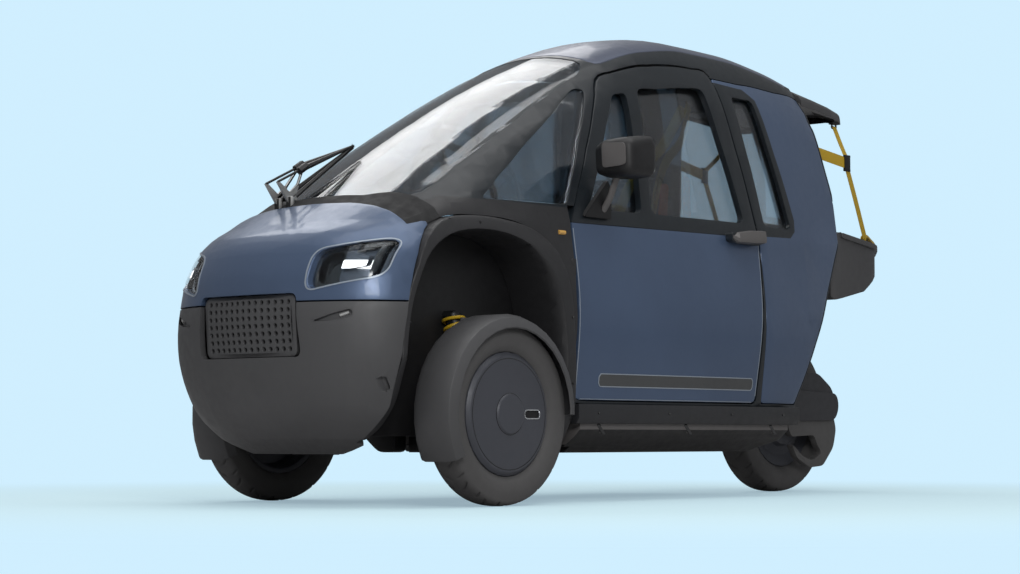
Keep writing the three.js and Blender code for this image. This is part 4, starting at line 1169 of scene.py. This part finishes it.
def screws(name, node, radius, height, spots):
    me = bpy.data.meshes.new(name + "_points")
    me.from_pydata([p[:] for p, _ in spots], [], [])
    normals = [c for _, n in spots for c in n]
    me.attributes.new("out", "FLOAT_VECTOR", "POINT").data.foreach_set("vector", normals)
    ob = place(name + "_points", me)
    heads = ob.modifiers.new("heads", "NODES")
    heads.node_group = SCREWS
    ids = {item.name: item.identifier for item in SCREWS.interface.items_tree if item.in_out == "INPUT"}
    heads[ids["Head Radius"]], heads[ids["Head Height"]] = radius, height
    heads[ids["Material"]] = FINISHES["gloss"]
    ob = baked(ob, name)
    ob.data.name = name
    ob.data.shade_smooth()
    ob.data.set_sharp_from_angle(angle=EDGE_ANGLE)
    fit_on(ob, node)


for name, node, radius, height, pts in SCREW_SETS:
    tree = skins(node)
    for side, sgn in SIDES:
        spots = side_hits(tree[sgn], pts, sgn)
        screws(name.replace("*", side), node.replace("*", side), radius, height, spots)
print("screws a side", sum(len(s[-1]) for s in SCREW_SETS))

# %% [markdown]
# The mirror is a thick housing on a bent grey arm, with a black foot on the door's front corner. A
# subdivided cube would give a soft blob, so the housing is skinned over seven sections that say how full it
# is from its inner end to its outer one.

# %% mirror housing and plates
HOUSING = [
    # y, front x, back x, foot z, top z, corner radius
    (0.446, -0.500, -0.590, 1.020, 1.098, 0.020), (0.452, -0.478, -0.604, 1.003, 1.117, 0.026),
    (0.480, -0.470, -0.611, 0.994, 1.127, 0.030), (0.540, -0.470, -0.612, 0.992, 1.130, 0.032),
    (0.576, -0.476, -0.610, 0.995, 1.126, 0.030), (0.587, -0.490, -0.604, 1.006, 1.114, 0.026),
    (0.590, -0.506, -0.594, 1.022, 1.100, 0.020),
]


def mirror_head(bm, sgn):
    rings = []
    for y, front_x, back_x, low, high, r in HOUSING:
        corners = [(front_x - 0.006, low), (front_x, high - 0.022), (back_x, high), (back_x, low)]
        rings.append([AT(x, sgn * y, z) for x, z in rounded(corners, r, 6)])
    link_loops(bm, rings)


def mirror_plate(bm, sgn, x, y_in, y_out, low, high, lean, thick):
    """A plate across the car, from y_in to y_out and low to high, leaning forward by lean as it rises."""
    outline = rounded([(y_in, low), (y_out, low + 0.004), (y_out, high - 0.006), (y_in, high)], 0.014, 6)
    prism(bm, [(sgn * y, z) for y, z in outline], lambda u, v, w: AT(x + lean * (v - low) + w, u, v), thick,
          0.001)


def mirror_panel(bm, sgn):
    mirror_plate(bm, sgn, -0.4755, 0.486, 0.574, 1.020, 1.098, 0.05, 0.0066)


def mirror_glass(bm, sgn):
    mirror_plate(bm, sgn, -0.6128, 0.460, 0.580, 1.006, 1.116, 0.0, 0.0030)


both_sides("mirror_head_*", mirror_head, "black", "mirror_*", 50, ["mirror_*"])
both_sides("mirror_panel_*", mirror_panel, "trim_grey", "mirror_*", 40)
both_sides("mirror_glass_*", mirror_glass, "chrome", "mirror_*", 40)
print("mirror housings 2, sections", len(HOUSING))

# %% [markdown]
# The arm is an oval tube along a smooth path. The foot has to fit the slanted corner of the door, so it
# takes its place across the car from a ray at every point of its outline.

# %% mirror arm and foot
door_frame_skin = skins("door_frame_*")
ARM = [(-0.552, 0.412, 0.884), (-0.550, 0.430, 0.905), (-0.548, 0.456, 0.940), (-0.546, 0.474, 0.980),
       (-0.545, 0.486, 1.004)]
FOOT = [(-0.458, 0.874), (-0.588, 0.874), (-0.574, 0.966), (-0.560, 0.994)]
FOOT_SUNK, FOOT_PROUD = 0.004, 0.012
FOOT_Y = 0.425                       # used where a ray misses the door frame


def mirror_arm(bm, sgn):
    tube(bm, smooth_path([AT(x, sgn * y, z) for x, y, z in ARM]), 0.0135, 16, (1, 0, 0), 0.62)


def mirror_foot(bm, sgn):
    rows = []
    for x, z in rounded(FOOT, 0.010):
        hit = side_hit(door_frame_skin[sgn], x, z, sgn)[0]
        rows.append((x, FOOT_Y if hit is None else abs(hit.y), z))
    link_loops(bm, [[AT(x, sgn * (y + d), z) for x, y, z in rows] for d in (-FOOT_SUNK, FOOT_PROUD)])
    rims = [e for e in bm.edges if e.calc_face_angle(0) > 0.8
            and abs(abs(e.verts[0].co.y) - abs(e.verts[1].co.y)) < (FOOT_PROUD + FOOT_SUNK) / 2]
    bmesh.ops.bevel(bm, geom=rims, offset=0.004, segments=3, affect="EDGES")


both_sides("mirror_arm_*", mirror_arm, "trim_grey", "mirror_*", 60)
both_sides("mirror_foot_*", mirror_foot, "black", "mirror_*", 40)
print("mirror arms and feet 2")

# %% [markdown]
# A flush cover hides each front wheel's disc. It has a thin ring near its edge, one round its cap, and one
# bright-edged slot where the lock is reached. Rings this fine would be lost in a texture, so they are
# raised.

# %% wheel covers
wheel_skin = skins("front_wheel_*")
RING_STEPS, RING_WIDTH, RING_SUNK, RING_RISE = 96, 0.0022, 0.001, 0.0006
RINGS = {"edge": 0.1605, "cap": 0.0600}
SLOT = rounded([(-0.134, -0.0125), (-0.066, -0.0125), (-0.066, 0.0125), (-0.134, 0.0125)], 0.0125, 6)
on_wheel = lambda sgn, x, y, z: Vector((AXLE_F + x, sgn * y, R_FRONT + z))


def wheel_ring(bm, sgn, radius):
    y = abs(side_hit(wheel_skin[sgn], radius, R_FRONT, sgn)[0].y)
    inner, outer = radius - RING_WIDTH / 2, radius + RING_WIDTH / 2
    section = ((inner, y - RING_SUNK), (inner, y + RING_RISE), (outer, y + RING_RISE), (outer, y - RING_SUNK))
    turns = [2 * math.pi * k / RING_STEPS for k in range(RING_STEPS)]
    link_loops(bm, [[on_wheel(sgn, r * math.cos(a), out, r * math.sin(a)) for r, out in section]
                    for a in turns], caps=False)


def cover_y(sgn):
    """How far out the cover is beside the slot."""
    return abs(side_hit(wheel_skin[sgn], -0.100, R_FRONT + 0.020, sgn)[0].y)


def wheel_slot_edge(bm, sgn):
    tube(bm, [on_wheel(sgn, x, cover_y(sgn), z) for x, z in SLOT], 0.0021, 8, (0, 1, 0), closed=True)


def wheel_slot(bm, sgn):
    floor_y = cover_y(sgn) - 0.006
    prism(bm, SLOT, lambda u, v, w: on_wheel(sgn, u, floor_y + w, v), 0.002)


for label, radius in RINGS.items():
    both_sides(f"wheel_ring_{label}_*", lambda bm, sgn: wheel_ring(bm, sgn, radius), "gloss", "front_wheel_*")
both_sides("wheel_slot_edge_*", wheel_slot_edge, "chrome", "front_wheel_*")
both_sides("wheel_slot_*", wheel_slot, "rubber", "front_wheel_*")
print("rings and slots on 2 covers")

# %% [markdown]
# The door is opened by a faceted grip on the rear edge of its window frame. Five sections give it crisp
# facets that bevels on a box would round away.

# %% door grips
grip_skin = skins("door_frame_*", "door_*")
GRIP = [
    # x, foot z, top z, how far it stands out
    (-1.206, 0.850, 0.860, 0.000), (-1.228, 0.838, 0.874, 0.012), (-1.300, 0.838, 0.884, 0.022),
    (-1.370, 0.842, 0.888, 0.020), (-1.386, 0.850, 0.884, 0.008),
]
GRIP_Z, GRIP_MOST_Y = 0.858, 0.452


def door_grip(bm, sgn):
    rings = []
    for x, low, high, out in GRIP:
        y = min(abs(side_hit(grip_skin[sgn], x, GRIP_Z, sgn)[0].y), GRIP_MOST_Y) - 0.002
        section = ((y, low), (y + out + 0.002, low + 0.004), (y + out + 0.004, low + 0.014),
                   (y + out, high - 0.004), (y, high))
        rings.append([AT(x, sgn * across, z) for across, z in section])
    link_loops(bm, rings)


both_sides("door_grip_*", door_grip, "trim_grey", "door_frame_*", 24)
print("door grips 2")

# %% [markdown]
# Three diagonal slots are pressed high into each sill panel. They are blind, and the shade in them is
# painted: a thin black plate in the panel's face is painted shade that reads the same as a cut and leaves
# the panel whole.

# %% sill slots
sill_skin = skins("battery_box_*")
SILL_SLOTS = (-0.560, -1.010, -1.490)
SILL_SLOT = [(-0.002, 0.207), (0.014, 0.207), (0.044, 0.237), (0.028, 0.237)]


def sill_slot_shade(bm, sgn):
    for x0 in SILL_SLOTS:
        outline = rounded([(x0 + x, z) for x, z in SILL_SLOT], 0.005, 4)
        y = max(abs(side_hit(sill_skin[sgn], x, z, sgn)[0].y) for x, z in outline)
        # the black plate is painted shade where the slot's recess would be
        prism(bm, outline, lambda u, v, w: AT(u, sgn * (y - 0.002 + w), v), 0.003)


both_sides("sill_slots_*", sill_slot_shade, "gloss", "battery_box_*")
print("sill slots", 2 * len(SILL_SLOTS))

# %% [markdown]
# Three single pieces finish the tail and the cabin: a raised case with round ends on the swing arm, a
# holder for a number plate, left bare, and the yellow belt over the front seat. The belt is taut, so a
# smooth path is enough and no cloth is solved.

# %% arm case, plate holder and belt
ARM_SIDE = 0.1205                    # outer face of the swing arm


def arm_case(bm):
    case = rounded([(0.085, 0.258), (0.100, 0.318), (0.070, 0.372), (-0.236, 0.360), (-0.252, 0.312),
                    (-0.226, 0.262)], 0.045, 8)
    upper = rounded([(0.010, 0.334), (-0.020, 0.432), (-0.120, 0.436), (-0.215, 0.380), (-0.236, 0.334)],
                    0.03, 6)
    for outline, thick, bevel in ((case, 0.013, 0.004), (upper, 0.005, 0.002)):
        prism(bm, outline, lambda u, v, w: TAIL(u, ARM_SIDE + w, v), thick, bevel)


def plate_holder(bm):
    stay = rounded([(0.070, 0.676), (-0.020, 0.690), (-0.052, 0.640), (0.016, 0.592), (0.040, 0.600)],
                   0.008, 4)
    prism(bm, stay, lambda u, v, w: TAIL(u, w, v), 0.0035, 0.001)
    block(bm, TAIL(-0.054, -0.085, 0.600), TAIL(-0.050, 0.085, 0.690), 0.001)


def front_belt(bm):
    path = [(-1.180, 0.268, 1.300), (-1.176, 0.180, 1.170), (-1.100, 0.110, 1.050), (-1.030, 0.020, 0.760),
            (-1.000, -0.060, 0.620), (-1.020, -0.180, 0.545)]
    web(bm, smooth_path([AT(*p) for p in path], 10), 0.040, 0.0022, (0, 0, 1))


make("arm_case", arm_case, "case", "swing_arm", 30)
make("front_belt", front_belt, "web", "front_seat")
make("plate_holder", plate_holder, "black", "rear_hugger")
print("arm case, belt and plate holder")

# %% [markdown]
# Each seat is a hard shell with two cloth pads. A rounded box looks like a brick, and sculpting can't be
# written down, so a pad starts a little small, is remeshed evenly and is blown up by the cloth solver. Then
# it gets its sewn channels.

# %% a cloth pad
PAD_SMALL = 0.010                    # how much smaller than its size a pad starts, at each end
VOXEL = 0.006
PRESSURE, CLOTH_FRAMES = 4.0, 20
MOST_SWELL, QUICK_SWELL = 0.024, 0.018


def coords(me):
    co = np.empty(len(me.vertices) * 3, dtype=np.float32)
    me.vertices.foreach_get("co", co)
    return co.reshape(-1, 3).astype(float)


def set_coords(me, co):
    me.vertices.foreach_set("co", co.astype(np.float32).ravel())


def start_block(name, half):
    """An evenly meshed block for the cloth solver."""
    bm = bmesh.new()
    block(bm, [-h for h in half], half, 0.016)
    me = bpy.data.meshes.new(name)
    bm.to_mesh(me)
    bm.free()
    ob = place(name + "_start", me)
    voxels = ob.modifiers.new("voxels", "REMESH")
    voxels.mode = "VOXEL"
    voxels.voxel_size = VOXEL
    return baked(ob, name)


def blown_up(ob, start):
    """Where the cloth solver moves the vertices under pressure, held to a most swell."""
    cloth = ob.modifiers.new("cloth", "CLOTH")
    cloth.settings.use_pressure = True
    cloth.settings.uniform_pressure_force = PRESSURE
    cloth.settings.effector_weights.gravity = 0.0
    cloth.settings.quality = 5
    cloth.point_cache.frame_start, cloth.point_cache.frame_end = 1, CLOTH_FRAMES
    for frame_number in range(1, CLOTH_FRAMES + 1):
        scene.frame_set(frame_number)
    step = coords(ob.evaluated_get(bpy.context.evaluated_depsgraph_get()).data) - start
    ob.modifiers.remove(cloth)
    scene.frame_set(1)
    far = np.maximum(np.linalg.norm(step, axis=1, keepdims=True), 1e-9)
    return start + step / far * MOST_SWELL * np.tanh(far / MOST_SWELL)


def pad(name, size, to_car, channels, node, replaces=()):
    """Crowned cushion: size along, across and deep. to_car maps (u, v, w) to the car. Channels are
    (axis, position, depth, half width) of sewn grooves in the top."""
    half = [s / 2 - PAD_SMALL for s in size]
    ob = start_block(name, half)
    start = coords(ob.data)
    moved = blown_up(ob, start)
    set_coords(ob.data, moved)
    fine = ob.modifiers.new("fine", "SUBSURF")
    fine.levels = fine.render_levels = 1
    ob = baked(ob, name)
    p = coords(ob.data)
    top = np.clip(p[:, 2] / half[2] + 0.2, 0, 1)
    for axis, where, deep, wide in channels:
        inside = np.clip(1 - np.abs(p[:, 1 - axis]) / (half[1 - axis] - 0.004), 0, 0.12) / 0.12
        p[:, 2] -= deep * np.exp(-((p[:, axis] - where) / wide) ** 2) * top * inside
    set_coords(ob.data, np.array([to_car(*q)[:] for q in p]))
    ob.data.materials.append(FINISHES["seat"])
    ob.data.shade_smooth()
    fit_on(ob, node, replaces)


print("a pad swells by", MOST_SWELL, "at most")

# %% [markdown]
# The front seat has a tall back and the rear one a short back, and otherwise they are alike. So one
# function makes a seat from its measures: a cushion, a back, a shell under and behind them, and an orange
# strip down each side.

# %% seats
SEATS = [
    # name, cushion middle x and z, length, half width, back foot (x, z), back top (x, z)
    ("front_seat", -0.925, 0.462, 0.345, 0.192, (-1.108, 0.500), (-1.158, 1.085)),
    ("rear_seat", -1.392, 0.462, 0.290, 0.182, (-1.545, 0.505), (-1.660, 0.885)),
]
FLOOR_TOP = 0.3365
SEAM, SEAM_DEEP = 0.006, 0.008       # half width of a seam, and depth of the long ones
CUSHION_RAKE = 0.04                  # rise of the cushion for each metre forward
CUSHION_DEEP, BACK_DEEP = 0.086, 0.070


def seams(along, across):
    """Cross seams at the places in along, and two long seams at plus and minus across."""
    return [(0, u, 0.006, SEAM) for u in along] + [(1, v, SEAM_DEEP, SEAM) for v in (-across, across)]


def seat(name, cx, cz, length, half, foot, top):
    foot, top = Vector((foot[0], 0, foot[1])), Vector((top[0], 0, top[1]))
    rise = (top - foot).normalized()
    out = Vector((rise.z, 0, -rise.x))
    mid = (foot + top) / 2 + out * 0.010
    tall = (top - foot).length
    on_floor = lambda u, v, w: AT(cx + u, v, cz + w + CUSHION_RAKE * u)             # along, across and up
    on_back = lambda u, v, w: AT(*(mid + rise * u + out * w + Vector((0, v, 0))))   # up, across and out

    def shell(bm):
        block(bm, AT(cx - length / 2 + 0.01, -half * 0.92, FLOOR_TOP),
              AT(cx + length / 2 - 0.03, half * 0.92, cz - 0.046), 0.012)
        board = rounded([(-tall / 2, -half), (tall / 2, -half * 0.9), (tall / 2, half * 0.9),
                         (-tall / 2, half)], 0.05)
        prism(bm, board, lambda u, v, w: on_back(u, v, -0.046 - w), 0.012, 0.004)

    def strips(bm):
        outline = rounded([(-tall * 0.30, -0.02), (tall * 0.44, -0.02), (tall * 0.44, 0.012),
                           (-tall * 0.30, 0.035)], 0.01)
        for sgn in (1, -1):
            prism(bm, outline, lambda u, v, w: on_back(u, sgn * (half - 0.006 + w), v - 0.030), 0.010, 0.003)

    pad(name + "_cushion", (length, 2 * half, CUSHION_DEEP), on_floor,
        seams((-0.06, 0.06), half * 0.55), name, [name])
    pad(name + "_back", (tall, 2 * half, BACK_DEEP), on_back,
        seams((-tall * 0.2, tall * 0.05, tall * 0.3), half * 0.5), name)
    make(name + "_shell", shell, "black", name)
    make(name + "_side_strip", strips, "orange", name)


for measures in SEATS:
    seat(*measures)
print("seats", len(SEATS), "pads", 2 * len(SEATS))

# %% [markdown]
# Yellow coil springs stand round the dampers. A spring is a helix, and its end turns lie flat against their
# seats, so the rise stops for most of a turn at each end.

# %% springs
SPRING_TURNS, FLAT_TURNS, TURN_STEPS = 7, 0.75, 18


def coil(bm, a, b, radius, wire):
    axis = (b - a).normalized()
    u = axis.orthogonal().normalized()
    v = axis.cross(u)
    n = SPRING_TURNS * TURN_STEPS
    pts = []
    for k in range(n + 1):
        turned = SPRING_TURNS * k / n
        rise = min(1, max(0, (turned - FLAT_TURNS) / (SPRING_TURNS - 2 * FLAT_TURNS)))
        angle = 2 * math.pi * turned
        pts.append(a + (b - a) * rise + radius * (u * math.cos(angle) + v * math.sin(angle)))
    tube(bm, pts, wire, 8, axis)


def front_spring(bm, sgn):
    coil(bm, AT(-0.006, sgn * 0.293, 0.545), AT(-0.006, sgn * 0.3255, 0.395), 0.031, 0.0052)


def rear_spring(bm):
    coil(bm, TAIL(0.333, 0, 0.305), TAIL(0.311, 0, 0.450), 0.027, 0.0050)


both_sides("spring_*", front_spring, "yellow", "suspension_*")
make("spring_rear", rear_spring, "yellow", "rear_shock")
print("springs 3")

# %% [markdown]
# The tail is held by yellow webbing: from the lid's corner to a buckle on a tab from the body, and on to
# the tray's rim. Each length is a smooth band between its two ends, as the lid and the tray stand.

# %% straps
BUCKLE, TRAY_END, LID_END = (-0.030, 0.318, 1.190), (-0.150, 0.316, 0.926), (-0.088, 0.226, 1.338)
TAB_ROOT = (0.150, 0.302, 1.216)
IN_BUCKLE = Vector((0, 0, 0.016))    # where the webbing goes into the buckle, from its middle
at_tail = lambda p, sgn: TAIL(p[0], sgn * p[1], p[2])


def webbing(side, name, pts, replaces=()):
    """A length of webbing along a smooth path from start, on the chassis, to end, on the other body."""
    ob = built(f"strap_{name}_{side}", lambda bm: web(bm, smooth_path(pts), 0.026, 0.0022), "web")
    if replaces:
        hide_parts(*replaces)
    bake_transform(ob)


for side, sgn in SIDES:
    buckle, tray, lid = (at_tail(p, sgn) for p in (BUCKLE, TRAY_END, LID_END))
    webbing(side, "upper", [lid, lid.lerp(buckle, 0.5) + Vector((-0.004, 0, 0)), buckle + IN_BUCKLE])
    webbing(side, "lower", [buckle - IN_BUCKLE, buckle.lerp(tray, 0.5) + Vector((0.002, 0, 0)), tray],
            ["strap_" + side])
print("lengths of webbing", 2 * len(SIDES))

# %% [markdown]
# The hard parts ride on one body each: the tab and its buckle on the body, a hook under the lid, and a
# yellow grab loop on each side of the tray.

# %% tabs, buckles, hooks and loops


def strap_tab(bm, sgn):
    root, buckle = at_tail(TAB_ROOT, sgn), at_tail(BUCKLE, sgn)
    web(bm, smooth_path([root, root.lerp(buckle, 0.5), buckle], 6), 0.040, 0.0030, (0, 0, 1))


def strap_buckle(bm, sgn):
    middle = at_tail(BUCKLE, sgn)
    for half_x, half_y, low, high, bevel in ((0.017, 0.005, -0.024, 0.024, 0.003),
                                             (0.020, 0.0032, -0.030, -0.022, 0.0015),
                                             (0.020, 0.0032, 0.022, 0.030, 0.0015)):
        block(bm, middle + Vector((-half_x, -half_y, low)), middle + Vector((half_x, half_y, high)), bevel)


def lid_hook(bm, sgn):
    end = at_tail(LID_END, sgn)
    bend = [end + Vector((x, 0, z)) for x, z in ((0.012, 0.012), (0.012, -0.006), (-0.012, -0.006),
                                                 (-0.012, 0.012))]
    tube(bm, smooth_path(bend, 6), 0.0034, 10, (0, 1, 0))
    block(bm, end + Vector((-0.020, -0.010, 0.006)), end + Vector((0.020, 0.010, 0.016)), 0.003)


def tray_grab(bm, sgn):
    a, b = TAIL(-0.165, sgn * 0.304, 0.929), TAIL(-0.330, sgn * 0.236, 0.910)
    loop = [a + Vector((0.010, 0, -0.016)), a + Vector((0, 0, 0.004)), a.lerp(b, 0.5) + Vector((0, 0, 0.006)),
            b + Vector((0, 0, 0.004)), b + Vector((-0.010, 0, -0.016))]
    web(bm, smooth_path(loop), 0.020, 0.012, (0, 1, 0))


both_sides("strap_tab_*", strap_tab, "yellow", "strap_*")
both_sides("strap_buckle_*", strap_buckle, "black", "strap_*")
both_sides("lid_hook_*", lid_hook, "black", "hatch")
both_sides("tray_grab_*", tray_grab, "yellow", "tailgate")
print("tabs, buckles, hooks and loops", 4 * len(SIDES))

# %% [markdown]
# The car stands on a plain pale blue ground with no horizon. The world shows that blue to the camera, also
# through glass, and a weaker, nearly white light to everything else, or the whole car would be tinted by
# it.

# %% backdrop
PALE = tuple((c / 255) ** 2.2 for c in (207, 238, 255))
world = bpy.data.worlds.new("world")
scene.world = world
world.use_nodes = True
t = world.node_tree
t.nodes.clear()
out, mix = add(t, "ShaderNodeOutputWorld"), add(t, "ShaderNodeMixShader")
seen = add(t, "ShaderNodeBackground", Color=(*PALE, 1))
lit = add(t, "ShaderNodeBackground", Color=(0.95, 0.97, 1.0, 1), Strength=0.30)
path = add(t, "ShaderNodeLightPath")
by_eye = add(t, "ShaderNodeMath", {"operation": "MAXIMUM"})   # straight to the camera, or through glass
for source, target in (
        (path.outputs["Is Camera Ray"], by_eye.inputs[0]),
        (path.outputs["Is Transmission Ray"], by_eye.inputs[1]), (by_eye.outputs[0], mix.inputs[0]),
        (lit.outputs[0], mix.inputs[1]), (seen.outputs[0], mix.inputs[2]), (mix.outputs[0], out.inputs[0])):
    t.links.new(source, target)
print("backdrop", [round(c, 2) for c in PALE])

# %% [markdown]
# The floor takes the car's soft shadow near it and fades into the backdrop further out. It is pale to the
# camera only. Where it throws light back at the car it is plain grey.

# %% floor
FLOOR_TONE = 1.25
NEAR, FAR = 1.4, 3.6                 # where the floor starts to fade, and where it is gone
NEAR_FADE = 0.46                     # how much of the backdrop's tone lies over it near the car
floor_mat = bpy.data.materials.new("pale_floor")
floor_mat.use_nodes = True
t = floor_mat.node_tree
base = t.nodes["Principled BSDF"]
base.inputs["Roughness"].default_value = 0.9
base.inputs["Specular IOR Level"].default_value = 0.1
tone = add(t, "ShaderNodeMix", {"data_type": "RGBA"}, A=(0.50, 0.50, 0.50, 1),
           B=(*[min(1, c * FLOOR_TONE) for c in PALE], 1))
mix = add(t, "ShaderNodeMixShader")
plain = add(t, "ShaderNodeEmission", Color=(*PALE, 1))
path, at = add(t, "ShaderNodeLightPath"), add(t, "ShaderNodeTexCoord")
reach = add(t, "ShaderNodeVectorMath", {"operation": "LENGTH"})
faded = add(t, "ShaderNodeMapRange", {"interpolation_type": "SMOOTHSTEP"}, From_Min=NEAR, From_Max=FAR,
            To_Min=NEAR_FADE, To_Max=1.0)
share = add(t, "ShaderNodeMath", {"operation": "MULTIPLY"})
for source, target in (
        (path.outputs["Is Camera Ray"], tone.inputs["Factor"]),
        (tone.outputs["Result"], base.inputs["Base Color"]),
        (at.outputs["Object"], reach.inputs[0]), (reach.outputs["Value"], faded.inputs["Value"]),
        (path.outputs["Is Camera Ray"], share.inputs[0]), (faded.outputs["Result"], share.inputs[1]),
        (share.outputs[0], mix.inputs[0]), (base.outputs[0], mix.inputs[1]),
        (plain.outputs[0], mix.inputs[2]), (mix.outputs[0], t.nodes["Material Output"].inputs[0])):
    t.links.new(source, target)
bm = bmesh.new()
bmesh.ops.create_grid(bm, x_segments=1, y_segments=1, size=30)
floor = finish_mesh(bm, "floor", [floor_mat])
print("floor fades from", NEAR, "to", FAR)
